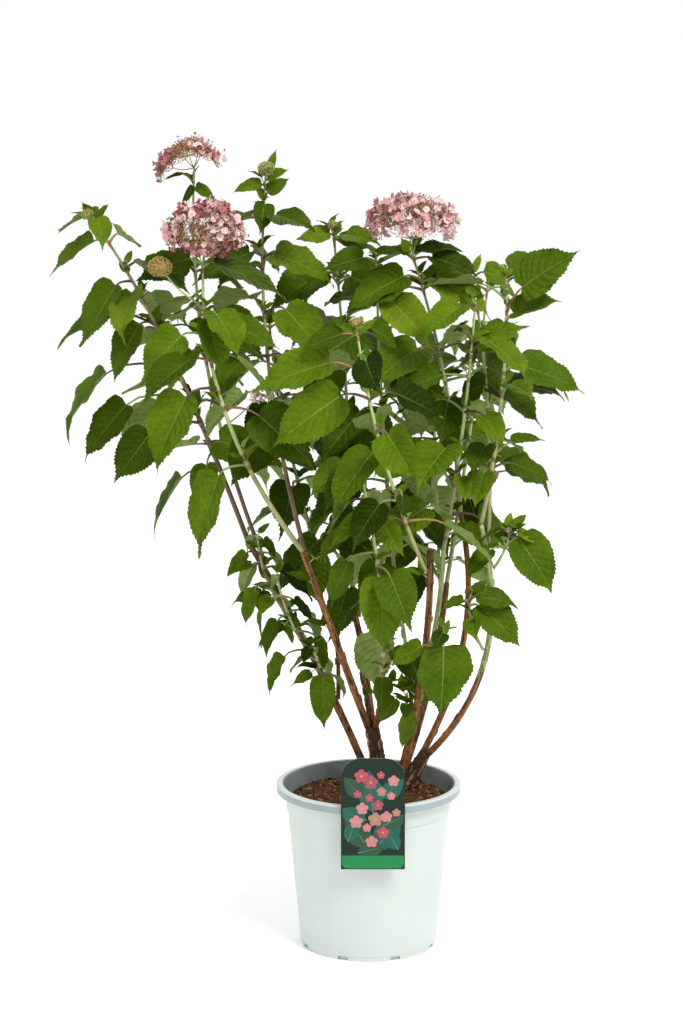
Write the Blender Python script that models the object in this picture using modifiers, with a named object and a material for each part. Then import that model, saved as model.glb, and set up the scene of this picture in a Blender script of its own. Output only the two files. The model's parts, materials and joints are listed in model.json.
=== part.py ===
"""Potted smooth hydrangea: a young shrub in leaf and bloom in its nursery pot, in metres.

+X is to the right of someone who faces the plant, +Y is away from them and +Z is up.
The origin is the middle of the pot's underside.
"""
import math
import random
from collections import namedtuple

import bmesh
import bpy
from mathutils import Matrix, Vector
from mathutils.bvhtree import BVHTree

UP = Vector((0.0, 0.0, 1.0))
FRONT = Vector((0.0, -1.0, 0.0))
SEAT_GAP = 0.0003
WELD = 0.000001

# Pot: a turned shell with an overhanging lip and a stacking step under it.
POT_HEIGHT = 0.202
LIP_RADIUS = 0.113
LIP_BOTTOM_RADIUS = 0.1122
LIP_DEPTH = 0.0105
LIP_ROUNDING = 0.0015
MOUTH_RADIUS = 0.1038
COLLAR_RADIUS = 0.1027
STEP_BELOW_RIM = 0.032
STEP_RADIUS = 0.1006
STEP_INSET = 0.0015
FOOT_RADIUS = 0.0832
FOOT_LINE_HEIGHT = 0.006
FOOT_LINE_INSET = 0.0006
POT_WALL = 0.002
POT_FLOOR = 0.003
POT_SIDES = 32
SLOT_COUNT = 8
SLOT_WIDTH = 0.013
SLOT_HEIGHT = 0.0045

# Potting mix: flat where the canes stand, and settled a little against the wall.
SOIL_TOP = 0.187
SOIL_FLAT_RADIUS = 0.093
SOIL_SETTLE = 0.004

# Plant label: an upright card in front of the rim, held by a tongue that hooks over it.
LABEL_WIDTH = 0.076
LABEL_BOTTOM = 0.126
LABEL_TOP = 0.262
LABEL_CORNER = 0.024
LABEL_CORNER_STEPS = 6
LABEL_THICKNESS = 0.0008
LABEL_X = 0.004
TONGUE_WIDTH = 0.014
TONGUE_RISE = 0.002
TONGUE_REACH = 0.012

# Canes.
CANE_POINTS = 8
ROUND_SIDES = 2
SLIM_SIDES = 1
THREAD_SIDES = 0
CANE_LEAD = 0.003
HALVINGS = 24
FLARE = 1.35
FLARE_HEIGHT = 0.012

# Shoots and leaves. A leaf that hangs steeply has a petiole that hardly rises.
SHOOT_POINTS = 6
SHOOT_TIP_RADIUS = 0.0013
LAST_PAIR = 0.97
PETIOLE_RADIUS = 0.0011
PETIOLE_KEEL = 1.6
LOW_PETIOLE = 0.60
HIGH_PETIOLE = 0.36
LEVEL_RISE = 30.0
RISE_WITH_PITCH = 0.7
ROOT_DEPTH = 0.25
BLADE_WIDTH = 0.67
BLADE_THICKNESS = 0.012
BLADE_DROOP = 0.14
BLADE_CUP = 0.05
BLADE_STATIONS = (0.12, 0.52)
WIDEST_AT = 0.38
BASE_ROUNDNESS = 0.55
TIP_TAPER = 0.90
CLEARANCE = 0.0007
FRONT_PULL = 0.75
REAR_PULL = 0.20
REAR_FROM = 0.05
OUTWARD_PULL = 0.30
TIP_SHRINK = 0.40
AZIMUTH_SPREAD = 18.0
PITCH_SPREAD = 14.0
SIZE_SPREAD = 0.12
ROLL_SPREAD = 14.0
TRIES = ((0, 0, 1.0), (20, 0, 1.0), (-20, 0, 1.0), (0, -18, 0.95), (0, 18, 0.9), (36, -8, 0.85),
         (-36, -8, 0.85))

# A cane stands on the soil or on a stump's flat top, or it forks from another cane's side.
# place is (x, y) on the soil, (dx, dy) on a stump's top, or the share of the way up the cane.
# bow is how far the middle of a stem stands off the straight line from its foot to its tip.
Limb = namedtuple("Limb", "name parent place tip bow radius tip_radius")
LIMBS = (
    Limb("stump_left", "soil", (0.012, 0.032), (0.004, 0.022, 0.266), (0.002, 0, 0), 0.0110, 0.0088),
    Limb("cane_left", "stump_left", (-0.0050, -0.0010), (-0.079, -0.050, 0.498), (0, -0.003, 0),
         0.0048, 0.0040),
    Limb("cane_centre", "stump_left", (0.0045, -0.0025), (0.016, -0.020, 0.332), (0.002, 0, 0),
         0.0040, 0.0036),
    Limb("stub_left", "stump_left", (0.0005, 0.0060), (-0.009, 0.030, 0.338), (0, 0.001, 0), 0.0032, 0.0028),
    Limb("cane_left_rear", "soil", (0.003, 0.056), (-0.150, 0.115, 0.480), (0.008, -0.008, 0),
         0.0052, 0.0038),
    Limb("cane_left_back", "cane_left_rear", 0.34, (-0.048, 0.125, 0.410), (0.004, 0.010, 0),
         0.0030, 0.0026),
    Limb("cane_mid", "soil", (0.033, 0.010), (0.072, -0.060, 0.502), (0.0115, -0.006, 0), 0.0052, 0.0040),
    Limb("cane_mid_thin", "cane_mid", 0.30, (0.034, 0.012, 0.430), (0.004, 0.004, 0), 0.0026, 0.0024),
    Limb("cane_green", "cane_mid", 0.42, (0.090, 0.002, 0.492), (0.006, 0.010, 0), 0.0034, 0.0030),
    Limb("stump_right", "soil", (0.050, 0.046), (0.071, 0.040, 0.228), (0, 0, 0), 0.0098, 0.0080),
    Limb("cane_right_inner", "stump_right", (-0.0030, 0.0040), (0.113, 0.070, 0.523),
         (0.028, -0.006, 0), 0.0043, 0.0034),
    Limb("cane_right", "stump_right", (0.0035, -0.0045), (0.133, -0.030, 0.527),
         (0.038, -0.018, -0.012), 0.0044, 0.0034),
    Limb("cane_back", "soil", (0.012, 0.076), (-0.020, 0.140, 0.400), (0.004, 0.004, 0), 0.0046, 0.0036),
    Limb("cane_back_right", "soil", (0.042, 0.070), (0.100, 0.150, 0.420), (0.008, 0.002, 0),
         0.0048, 0.0038),
)

# A leafy shoot grows on from a cane's tip, or from its side, and is one mass of foliage.
# first is the share of its stem that is bare, pairs its pairs of leaves, low and high the length
# of a leaf on its lower and upper part, turn the compass angle of its lowest pair, and droop how
# far the leaves hang below level.
Shoot = namedtuple("Shoot", "name limb place tip bow radius first pairs low high turn droop seed ending")
SHOOTS = (
    Shoot("shoot_left_head", "cane_left", 1.0, (-0.195, -0.030, 0.846), (-0.034, -0.030, 0), 0.0032,
          0.35, 5, 0.085, 0.080, 40, 32, 1, "head"),
    Shoot("shoot_left_bud", "cane_left", 0.90, (-0.124, 0.058, 0.940), (-0.024, 0.045, 0), 0.0030,
          0.30, 7, 0.080, 0.074, 50, 28, 2, "bud"),
    Shoot("shoot_far_left", "cane_left_rear", 1.0, (-0.330, -0.020, 0.893), (-0.010, 0.026, 0.050), 0.0032,
          0.20, 8, 0.085, 0.075, 60, 35, 3, "bud"),
    Shoot("shoot_top_head", "cane_left_rear", 0.90, (-0.208, 0.020, 0.945), (-0.030, 0.034, 0), 0.0028,
          0.30, 7, 0.085, 0.070, 30, 28, 4, "head"),
    Shoot("sprig_left_low", "cane_left_rear", 0.66, (-0.136, 0.050, 0.500), (-0.010, -0.004, 0), 0.0020,
          0.14, 6, 0.054, 0.048, 30, 58, 5, "leaves"),
    Shoot("sprig_left_mid", "cane_left_rear", 0.52, (-0.112, 0.020, 0.455), (-0.006, -0.006, 0), 0.0018,
          0.14, 5, 0.056, 0.046, 60, 52, 20, "leaves"),
    Shoot("sprig_left_base", "cane_left_rear", 0.36, (-0.070, 0.030, 0.366), (0, -0.004, 0), 0.0018,
          0.45, 3, 0.046, 0.042, 60, 55, 6, "leaves"),
    Shoot("shoot_centre_low", "cane_centre", 1.0, (-0.014, -0.075, 0.610), (0.010, -0.012, 0), 0.0028,
          0.12, 7, 0.085, 0.080, 20, 42, 7, "leaves"),
    Shoot("shoot_mid_bud", "cane_mid", 0.92, (-0.016, -0.112, 0.772), (-0.0105, -0.024, 0), 0.0026,
          0.22, 7, 0.080, 0.080, 20, 38, 8, "bud"),
    Shoot("shoot_green", "cane_green", 1.0, (0.124, -0.045, 0.800), (0.004, -0.008, 0), 0.0028,
          0.14, 7, 0.070, 0.090, 40, 26, 9, "leaves"),
    Shoot("shoot_right_head", "cane_right_inner", 1.0, (0.049, 0.0, 0.851), (0.012, 0.018, 0), 0.0030,
          0.16, 8, 0.080, 0.092, 40, 24, 10, "head"),
    Shoot("shoot_right_top", "cane_right", 1.0, (0.161, -0.030, 0.826), (0.009, 0, 0), 0.0030,
          0.30, 4, 0.045, 0.060, 60, 15, 11, "leaves"),
    Shoot("shoot_right_mid", "cane_right", 0.93, (0.122, 0.030, 0.826), (0.010, 0.008, 0), 0.0026,
          0.25, 7, 0.050, 0.080, 40, 20, 12, "leaves"),
    Shoot("sprig_right_low", "cane_right", 0.84, (0.166, -0.045, 0.520), (0.004, 0.004, 0), 0.0018,
          0.60, 2, 0.045, 0.045, 60, 30, 13, "leaves"),
    Shoot("sprig_right_base", "cane_right", 0.52, (0.118, -0.048, 0.440), (-0.004, -0.004, 0), 0.0018,
          0.60, 2, 0.040, 0.040, 80, 30, 21, "leaves"),
    Shoot("sprig_front", "cane_mid", 0.56, (0.088, -0.074, 0.402), (0.004, -0.004, 0), 0.0018,
          0.60, 2, 0.040, 0.045, 150, 20, 22, "leaves"),
    Shoot("sprig_mid_low", "cane_mid", 0.26, (0.046, -0.016, 0.318), (0, -0.003, 0), 0.0016,
          0.70, 1, 0.030, 0.030, 90, 30, 23, "leaves"),
    Shoot("shoot_back_left", "cane_left_back", 1.0, (-0.125, 0.190, 0.750), (-0.010, 0.016, 0), 0.0026,
          0.12, 7, 0.085, 0.080, 60, 30, 14, "leaves"),
    Shoot("shoot_back_bud", "cane_back", 1.0, (-0.044, 0.110, 0.872), (0.006, 0.034, 0), 0.0028,
          0.12, 8, 0.085, 0.080, 40, 28, 15, "bud"),
    Shoot("shoot_back", "cane_back", 0.90, (0.006, 0.235, 0.720), (0, 0.016, 0), 0.0024,
          0.14, 7, 0.085, 0.080, 60, 32, 16, "leaves"),
    Shoot("shoot_back_right", "cane_back_right", 1.0, (0.150, 0.170, 0.800), (0.004, 0.016, 0), 0.0028,
          0.12, 7, 0.085, 0.080, 20, 26, 17, "leaves"),
    Shoot("shoot_back_out", "cane_back_right", 0.88, (0.085, 0.250, 0.650), (0, 0.012, 0), 0.0022,
          0.18, 5, 0.080, 0.075, 70, 35, 18, "leaves"),
    Shoot("shoot_back_mid", "cane_mid_thin", 1.0, (0.008, 0.020, 0.848), (-0.004, 0.016, 0), 0.0024,
          0.12, 9, 0.080, 0.092, 50, 26, 19, "leaves"),
)

# Leaves that stand out on the plant, by the shoot that bears them. Each is its height on the
# stem, compass angle, pitch, length, petiole length, and how far it turns its face to the front.
SET_LEAVES = {
    "shoot_far_left": (
        (0.862, 180, -31, 0.070, 0.016, 0.3), (0.812, 195, -55, 0.086, 0.020, 1.0),
        (0.756, 175, -22, 0.078, 0.058, 0.2), (0.760, 160, -50, 0.090, 0.022, 0.4),
        (0.700, 186, -46, 0.096, 0.086, 0.2), (0.662, 196, -45, 0.086, 0.080, 0.7),
        (0.632, 210, -50, 0.074, 0.070, 0.9), (0.571, 185, -54, 0.084, 0.048, 0.3),
        (0.684, 178, -8, 0.068, 0.010, -0.6), (0.606, 350, -12, 0.100, 0.014, 0.6)),
    "shoot_left_bud": (
        (0.925, 185, -10, 0.036, 0.005, 0.8), (0.912, 10, 35, 0.032, 0.006, 0.8),
        (0.903, 265, -50, 0.040, 0.005, 0.9), (0.893, 170, -25, 0.048, 0.008, 0.6),
        (0.840, 195, -20, 0.080, 0.016, 0.8), (0.838, 345, -18, 0.080, 0.016, 0.8)),
    "shoot_back_bud": (
        (0.862, 185, -5, 0.042, 0.005, 0.9), (0.855, 350, -10, 0.046, 0.006, 0.8),
        (0.812, 200, -25, 0.084, 0.018, 0.9), (0.806, 335, -20, 0.084, 0.018, 0.9)),
    "shoot_right_head": (
        (0.846, 185, 8, 0.046, 0.006, 0.8), (0.846, 350, 12, 0.054, 0.006, 0.9),
        (0.816, 200, -22, 0.082, 0.020, 0.8), (0.812, 330, -20, 0.084, 0.020, 0.9)),
    "shoot_left_head": (
        (0.757, 190, -42, 0.074, 0.030, 1.0), (0.696, 210, -58, 0.094, 0.042, 1.1),
        (0.606, 205, -66, 0.100, 0.038, 0.5), (0.775, 290, -50, 0.070, 0.020, 1.2),
        (0.765, 340, -22, 0.066, 0.030, 0.9), (0.836, 350, -17, 0.096, 0.012, 0.6)),
    "shoot_right_top": (
        (0.824, 30, 15, 0.062, 0.006, 1.2), (0.782, -14, 36, 0.084, 0.036, 0.6),
        (0.772, -30, 22, 0.062, 0.012, 0.9), (0.712, 0, -16, 0.084, 0.020, 0.8),
        (0.690, 10, -5, 0.070, 0.012, 0.3), (0.611, 0, 10, 0.040, 0.026, 0.5),
        (0.595, 0, -20, 0.056, 0.024, 0.6), (0.795, 170, 5, 0.070, 0.035, 0.3)),
    "sprig_right_low": ((0.515, 345, -53, 0.080, 0.012, 1.0),),
    "sprig_right_base": ((0.432, 345, -38, 0.072, 0.012, 0.9), (0.438, 10, -5, 0.050, 0.012, 0.3),
                         (0.437, 190, -15, 0.030, 0.006, 0.9)),
    "shoot_green": ((0.508, 340, -13, 0.062, 0.014, 0.6), (0.735, 335, 25, 0.062, 0.014, 0.9)),
    "shoot_mid_bud": (
        (0.567, 215, -45, 0.064, 0.026, 1.2), (0.627, 215, -42, 0.088, 0.014, 1.1),
        (0.690, 190, -33, 0.100, 0.034, 1.2), (0.718, 185, -15, 0.095, 0.042, 0.8)),
    "shoot_centre_low": (
        (0.500, 195, -65, 0.085, 0.034, 0.8), (0.480, 280, -75, 0.090, 0.020, 1.0),
        (0.540, 320, -40, 0.084, 0.030, 1.0), (0.376, 335, -45, 0.046, 0.012, 1.0),
        (0.345, 268, -76, 0.038, 0.010, 1.0)),
    "sprig_front": ((0.396, 272, -86, 0.086, 0.012, 1.2),),
    "sprig_mid_low": ((0.300, 265, -80, 0.044, 0.012, 1.0), (0.312, 200, -48, 0.036, 0.014, 0.8)),
    "sprig_left_base": ((0.334, 280, -80, 0.068, 0.014, 1.0), (0.360, 185, -60, 0.052, 0.036, 0.8)),
}

# Openings through which the sky shows to someone who faces the plant, as (x, z, radius) on the
# plane through the pot's middle.
EYE = Vector((-0.03, -3.20, 1.09))
SIGHT_STATIONS = (0.0, 0.25, 0.5, 0.75, 1.0)
WINDOWS = (
    (-0.174, 0.943, 0.020), (0.180, 0.557, 0.020), (0.197, 0.756, 0.018), (-0.330, 0.831, 0.018),
    (-0.328, 0.738, 0.016), (-0.289, 0.898, 0.016), (-0.184, 0.507, 0.014), (-0.220, 0.602, 0.014),
    (0.167, 0.454, 0.014), (0.031, 0.311, 0.014), (-0.075, 0.862, 0.014), (0.103, 0.459, 0.010),
)

# Flower heads: a domed cluster of florets on a stalk, and an open umbrella of the same florets
# on rays, which arches down to its rim and leans to one side.
Head = namedtuple("Head", "name shoot centre width height florets rays")
HEADS = (
    Head("flower_head_left", "shoot_left_head", (-0.192, -0.045, 0.876), 0.102, 0.070, 28, 0),
    Head("flower_head_top", "shoot_top_head", (-0.215, 0.004, 0.984), 0.092, 0.016, 18, 5),
    Head("flower_head_right", "shoot_right_head", (0.049, 0.0, 0.884), 0.120, 0.060, 32, 0),
)
DOME_SHARE = 0.62
DOME_SKIRT = -0.75
CORE_FACETS = 2
UMBRELLA_ARCH = 0.020
UMBRELLA_LEAN = 0.20
UMBRELLA_SKIRT = -0.25
RAY_DROP = 0.030
RAY_REACH = 0.62
RAY_RADIUS = 0.0008
FLORET_RADIUS = 0.0092
FLORET_SINK = 0.0024
FLORET_THICKNESS = 0.0030
BUD_RADIUS = 0.0085
BUD_FLATNESS = 0.8
BUD_SEAT = 0.5
BUD_FACETS = 2
GOLDEN_ANGLE = math.pi * (3.0 - math.sqrt(5.0))

MATERIALS = {
    "pot": ((0.80, 0.86, 0.82), 0.38),
    "soil": ((0.060, 0.035, 0.020), 0.95),
    "label": ((0.045, 0.16, 0.10), 0.30),
    "bark": ((0.17, 0.075, 0.040), 0.75),
    "green_cane": ((0.24, 0.34, 0.10), 0.55),
    "foliage": ((0.055, 0.16, 0.022), 0.50),
    "blossom": ((0.72, 0.36, 0.38), 0.65),
}


def clear_scene():
    for thing in list(bpy.data.objects):
        bpy.data.objects.remove(thing)


def new_collection(name):
    collection = bpy.data.collections.new(name)
    bpy.context.scene.collection.children.link(collection)
    return collection


def material(name):
    """The Principled material of that name, made at its first use."""
    if name in bpy.data.materials:
        return bpy.data.materials[name]
    made = bpy.data.materials.new(name)
    made.use_nodes = True
    shader = made.node_tree.nodes["Principled BSDF"]
    colour, roughness = MATERIALS[name]
    shader.inputs["Base Color"].default_value = (*colour, 1.0)
    shader.inputs["Roughness"].default_value = roughness
    shader.inputs["Metallic"].default_value = 0.0
    made.diffuse_color = (*colour, 1.0)
    return made


def add_object(name, data, collection, finish):
    made = bpy.data.objects.new(name, data)
    data.materials.append(material(finish))
    collection.objects.link(made)
    return made


def shells(shape):
    """The groups of faces that hang together by their edges."""
    waiting = set(shape.faces)
    groups = []
    while waiting:
        group = [waiting.pop()]
        for face in group:
            for edge in face.edges:
                for beside in edge.link_faces:
                    if beside in waiting:
                        waiting.remove(beside)
                        group.append(beside)
        groups.append(group)
    return groups


def drop_scraps(shape):
    """Keep a fused piece's largest shell: the others are loose scraps and sealed hollows."""
    groups = sorted(shells(shape), key=len)
    scraps = [face for group in groups[:-1] for face in group]
    bmesh.ops.delete(shape, geom=scraps, context="FACES")


def as_mesh(source):
    """A welded mesh of flat triangles, in place of the object, of what its modifiers show."""
    bpy.context.view_layer.update()
    evaluated = source.evaluated_get(bpy.context.evaluated_depsgraph_get())
    mesh = bpy.data.meshes.new_from_object(evaluated)
    shape = bmesh.new()
    shape.from_mesh(mesh)
    bmesh.ops.remove_doubles(shape, verts=shape.verts, dist=WELD)
    bmesh.ops.triangulate(shape, faces=shape.faces)
    drop_scraps(shape)
    bmesh.ops.recalc_face_normals(shape, faces=shape.faces)
    shape.to_mesh(mesh)
    shape.free()
    mesh.transform(source.matrix_world)
    bpy.data.objects.remove(source)
    return mesh


# Turned pieces.

def turned(name, profile, finish, collection):
    """Turn (radius, height) points, listed down the outer side, about the Z axis."""
    mesh = bpy.data.meshes.new(name)
    points = [(radius, 0.0, height) for radius, height in profile]
    edges = [(i, i + 1) for i in range(len(points) - 1)]
    mesh.from_pydata(points, edges, [])
    made = add_object(name, mesh, collection, finish)
    screw = made.modifiers.new("Turn", "SCREW")
    screw.steps = POT_SIDES
    screw.render_steps = POT_SIDES
    screw.use_merge_vertices = True
    screw.merge_threshold = 0.00001
    return made


def step_height():
    return POT_HEIGHT - STEP_BELOW_RIM


def inner_wall(clear=0.0):
    """The pot's inner side from the floor up, set in by clear."""
    step = step_height()
    return [(FOOT_RADIUS - POT_WALL - clear, POT_FLOOR + clear),
            (STEP_RADIUS - STEP_INSET - POT_WALL - clear, step - STEP_INSET),
            (STEP_RADIUS - POT_WALL - clear, step + STEP_INSET),
            (COLLAR_RADIUS - POT_WALL - clear, POT_HEIGHT - LIP_DEPTH)]


def make_pot(collection, cutters):
    step = step_height()
    profile = [(0.0, POT_FLOOR)] + inner_wall()
    profile += [(MOUTH_RADIUS, POT_HEIGHT - LIP_ROUNDING),
                (MOUTH_RADIUS + LIP_ROUNDING, POT_HEIGHT),
                (LIP_RADIUS - LIP_ROUNDING, POT_HEIGHT),
                (LIP_RADIUS, POT_HEIGHT - LIP_ROUNDING),
                (LIP_BOTTOM_RADIUS, POT_HEIGHT - LIP_DEPTH),
                (COLLAR_RADIUS, POT_HEIGHT - LIP_DEPTH),
                (STEP_RADIUS, step),
                (STEP_RADIUS - STEP_INSET, step - STEP_INSET),
                (FOOT_RADIUS + FOOT_LINE_INSET, FOOT_LINE_HEIGHT),
                (FOOT_RADIUS, FOOT_LINE_HEIGHT - FOOT_LINE_INSET),
                (FOOT_RADIUS - FOOT_LINE_INSET, 0.0),
                (0.0, 0.0)]
    pot = turned("pot", profile, "pot", collection)
    for number in range(SLOT_COUNT):
        mesh = bpy.data.meshes.new("drain_slot")
        box = bmesh.new()
        bmesh.ops.create_cube(box, size=1.0)
        bmesh.ops.scale(box, vec=(4 * POT_WALL, SLOT_WIDTH, 2 * SLOT_HEIGHT), verts=box.verts)
        box.to_mesh(mesh)
        box.free()
        angle = 2 * math.pi * (number + 0.5) / SLOT_COUNT
        slot = bpy.data.objects.new(f"drain_slot_{number + 1}", mesh)
        slot.location = (FOOT_RADIUS * math.cos(angle), FOOT_RADIUS * math.sin(angle), 0.0)
        slot.rotation_euler = (0.0, 0.0, angle)
        slot.hide_render = True
        slot.display_type = "WIRE"
        cutters.objects.link(slot)
    cut = pot.modifiers.new("Drain slots", "BOOLEAN")
    cut.operation = "DIFFERENCE"
    cut.operand_type = "COLLECTION"
    cut.collection = cutters
    cut.solver = "EXACT"
    return pot


def make_soil(collection):
    side = [point for point in inner_wall(SEAT_GAP) if point[1] < SOIL_TOP - SOIL_SETTLE]
    low, high = inner_wall(SEAT_GAP)[-2:]
    edge = SOIL_TOP - SOIL_SETTLE
    share = (edge - low[1]) / (high[1] - low[1])
    wall = low[0] + share * (high[0] - low[0])
    profile = [(0.0, SOIL_TOP), (SOIL_FLAT_RADIUS, SOIL_TOP), (wall, edge)]
    profile += reversed(side)
    profile.append((0.0, POT_FLOOR + SEAT_GAP))
    return turned("soil", profile, "soil", collection)


# Label.

def make_label(collection):
    """A flat card with a round top, and a folded tongue that hooks over the pot's lip."""
    outline = bpy.data.curves.new("label_outline", "CURVE")
    outline.dimensions = "2D"
    outline.fill_mode = "BOTH"
    outline.extrude = LABEL_THICKNESS / 2
    half = LABEL_WIDTH / 2
    corner = [(half, LABEL_BOTTOM)]
    for step in range(LABEL_CORNER_STEPS + 1):
        angle = math.pi / 2 * step / LABEL_CORNER_STEPS
        corner.append((half - LABEL_CORNER * (1 - math.cos(angle)),
                       LABEL_TOP - LABEL_CORNER * (1 - math.sin(angle))))
    points = corner + [(-x, z) for x, z in reversed(corner)]
    spline = outline.splines.new("POLY")
    spline.points.add(len(points) - 1)
    for point, (x, z) in zip(spline.points, points):
        point.co = (x, z, 0.0, 1.0)
    spline.use_cyclic_u = True
    front = -(LIP_RADIUS + SEAT_GAP + LABEL_THICKNESS / 2)
    flat = add_object("label_card", outline, collection, "label")
    flat.location = (LABEL_X, front, 0.0)
    flat.rotation_euler = (math.pi / 2, 0.0, 0.0)
    card = add_object("label", as_mesh(flat), collection, "label")
    inside = LABEL_THICKNESS * 1.5 - inner_wall()[-1][0] * math.cos(math.pi / POT_SIDES)
    top = POT_HEIGHT + TONGUE_RISE
    bar_height = (POT_HEIGHT + SEAT_GAP + top) / 2
    parts = (((LABEL_X, (front + inside) / 2, bar_height),
              (TONGUE_WIDTH, inside - front + LABEL_THICKNESS, top - POT_HEIGHT - SEAT_GAP)),
             ((LABEL_X, inside, top - TONGUE_REACH / 2),
              (TONGUE_WIDTH - 2 * SEAT_GAP, LABEL_THICKNESS, TONGUE_REACH)))
    tongues = new_collection("label_tongue")
    for place, size in parts:
        mesh = bpy.data.meshes.new("tongue")
        box = bmesh.new()
        bmesh.ops.create_cube(box, size=1.0)
        bmesh.ops.scale(box, vec=size, verts=box.verts)
        bmesh.ops.translate(box, vec=place, verts=box.verts)
        box.to_mesh(mesh)
        box.free()
        add_object("tongue", mesh, tongues, "label")
    return fuse(card, tongues)


def fuse(body, others):
    """Join a collection's objects to a body with one union, and remove that collection."""
    union = body.modifiers.new("Join", "BOOLEAN")
    union.operation = "UNION"
    union.operand_type = "COLLECTION"
    union.collection = others
    union.solver = "MANIFOLD"
    name = body.name
    home = body.users_collection[0]
    finish = body.data.materials[0].name
    mesh = as_mesh(body)
    for thing in list(others.objects):
        bpy.data.objects.remove(thing)
    bpy.data.collections.remove(others)
    mesh.materials.clear()
    return add_object(name, mesh, home, finish)


# Stems.

class Path:
    """A bowed stem: its middle stands off the straight line from start to end by bow."""

    def __init__(self, start, end, bow):
        self.start = Vector(start)
        self.end = Vector(end)
        self.control = (self.start + self.end) / 2 + 2 * Vector(bow)

    def point(self, share):
        rest = 1.0 - share
        return self.start * rest ** 2 + self.control * 2 * share * rest + self.end * share ** 2

    def direction(self, share):
        rest = 1.0 - share
        return ((self.control - self.start) * rest + (self.end - self.control) * share).normalized()

    def share_at(self, height):
        """The share of the way along at which the stem, which only climbs, has that height."""
        low, high = 0.0, 1.0
        for _ in range(HALVINGS):
            middle = (low + high) / 2
            if self.point(middle).z < height:
                low = middle
            else:
                high = middle
        return low


Stem = namedtuple("Stem", "path lead radius tip_radius")


def on_straights(path, share, count):
    """A point of a stem that is made with count points and is straight between them."""
    steps = count - 1
    number = min(int(share * steps), steps - 1)
    return path.point(number / steps).lerp(path.point((number + 1) / steps), share * steps - number)


def on_soil(limb):
    foot = Vector((*limb.place, SOIL_TOP + SEAT_GAP))
    return Stem(Path(foot, limb.tip, limb.bow), UP, limb.radius, limb.tip_radius)


def on_parent(part, parent, radius, tip_radius):
    """A stem that stands on its parent's tip, or leaves its parent's side."""
    ending = parent.path.direction(1.0)
    if isinstance(part.place, tuple):
        start = parent.path.end + Vector((*part.place, 0.0)) + UP * SEAT_GAP
        return Stem(Path(start, part.tip, part.bow), UP, radius, tip_radius)
    if part.place == 1.0:
        start = parent.path.end + ending * SEAT_GAP
        return Stem(Path(start, part.tip, part.bow), ending, radius, tip_radius)
    axis_point = on_straights(parent.path, part.place, CANE_POINTS)
    axis = parent.path.direction(part.place)
    first = Path(axis_point, part.tip, part.bow).direction(0.0)
    outward = (first - axis * first.dot(axis)).normalized()
    thickness = parent.radius + (parent.tip_radius - parent.radius) * part.place
    lean = math.sqrt(max(0.0, 1.0 - first.dot(outward) ** 2))
    start = axis_point + outward * (thickness + radius * lean + SEAT_GAP)
    path = Path(start, part.tip, part.bow)
    return Stem(path, path.direction(0.0), radius, tip_radius)


def stem_points(stem, count):
    """Points along a stem, as (place, radius), after a short straight lead from its seat."""
    points = [(stem.path.start, stem.radius), (stem.path.start + stem.lead * CANE_LEAD, stem.radius)]
    length = (stem.path.end - stem.path.start).length
    for number in range(1, count):
        share = number / (count - 1)
        if share * length > 2 * CANE_LEAD:
            radius = stem.radius + (stem.tip_radius - stem.radius) * share
            points.append((stem.path.point(share), radius))
    return points


def flare_foot(points):
    """Thicken the points near the ground into a root flare."""
    flared = []
    for place, radius in points:
        height = place.z - points[0][0].z
        swell = (FLARE - 1.0) * max(0.0, 1.0 - height / FLARE_HEIGHT) ** 2
        flared.append((place, radius * (1.0 + swell)))
    return flared


def flat_top(points, radius):
    """End a stump with a short upright piece, so that its top is level."""
    place = points[-1][0]
    return points[:-1] + [(place - UP * CANE_LEAD, radius), (place, radius)]


def tube(name, points, sides_level, finish, collection):
    """A tapering tube along points, as a curve with a bevel and filled caps."""
    curve = bpy.data.curves.new(name, "CURVE")
    curve.dimensions = "3D"
    curve.bevel_depth = 1.0
    curve.bevel_resolution = sides_level
    curve.use_fill_caps = True
    spline = curve.splines.new("POLY")
    spline.points.add(len(points) - 1)
    for point, (place, radius) in zip(spline.points, points):
        point.co = (*place, 1.0)
        point.radius = radius
    return add_object(name, curve, collection, finish)


# Leaves.

Plan = namedtuple("Plan", "share azimuth pitch roll length petiole rise facing")
Leaf = namedtuple("Leaf", "root base along normal length")


def half_width(share, length):
    """Half the width of an egg-shaped blade at a share of its length."""
    rise = (share / WIDEST_AT) ** BASE_ROUNDNESS
    fall = ((1.0 - share) / (1.0 - WIDEST_AT)) ** TIP_TAPER
    return 0.5 * BLADE_WIDTH * length * rise * fall


def place_leaf(stem, plan):
    """A leaf whose petiole leaves the stem and whose blade hangs from the petiole's end."""
    turn = math.radians(plan.azimuth)
    outward = Vector((math.cos(turn), math.sin(turn), 0.0))
    rise = math.radians(plan.rise)
    thickness = stem.radius + (stem.tip_radius - stem.radius) * plan.share
    root = on_straights(stem.path, plan.share, SHOOT_POINTS) + outward * thickness * ROOT_DEPTH
    base = root + (outward * math.cos(rise) + UP * math.sin(rise)) * plan.petiole
    tilt = math.radians(plan.pitch)
    along = outward * math.cos(tilt) + UP * math.sin(tilt)
    pull = plan.facing
    if pull is None:
        pull = FRONT_PULL if base.y < REAR_FROM else REAR_PULL
    light = UP + FRONT * pull + outward * OUTWARD_PULL
    normal = (light - along * light.dot(along)).normalized()
    normal = Matrix.Rotation(math.radians(plan.roll), 3, along) @ normal
    return Leaf(root, base, along, normal, plan.length)


def blade_point(leaf, share, side, lift):
    """A point of the blade: side is -1, 0 or 1, and lift stands it off the blade's middle."""
    across = leaf.normal.cross(leaf.along)
    reach = half_width(share, leaf.length) if 0.0 < share < 1.0 else 0.0
    cup = BLADE_CUP * abs(side) * (1.0 - share)
    height = lift + leaf.length * (cup - BLADE_DROOP * share ** 2)
    return leaf.base + leaf.along * leaf.length * share + across * side * reach + leaf.normal * height


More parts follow.
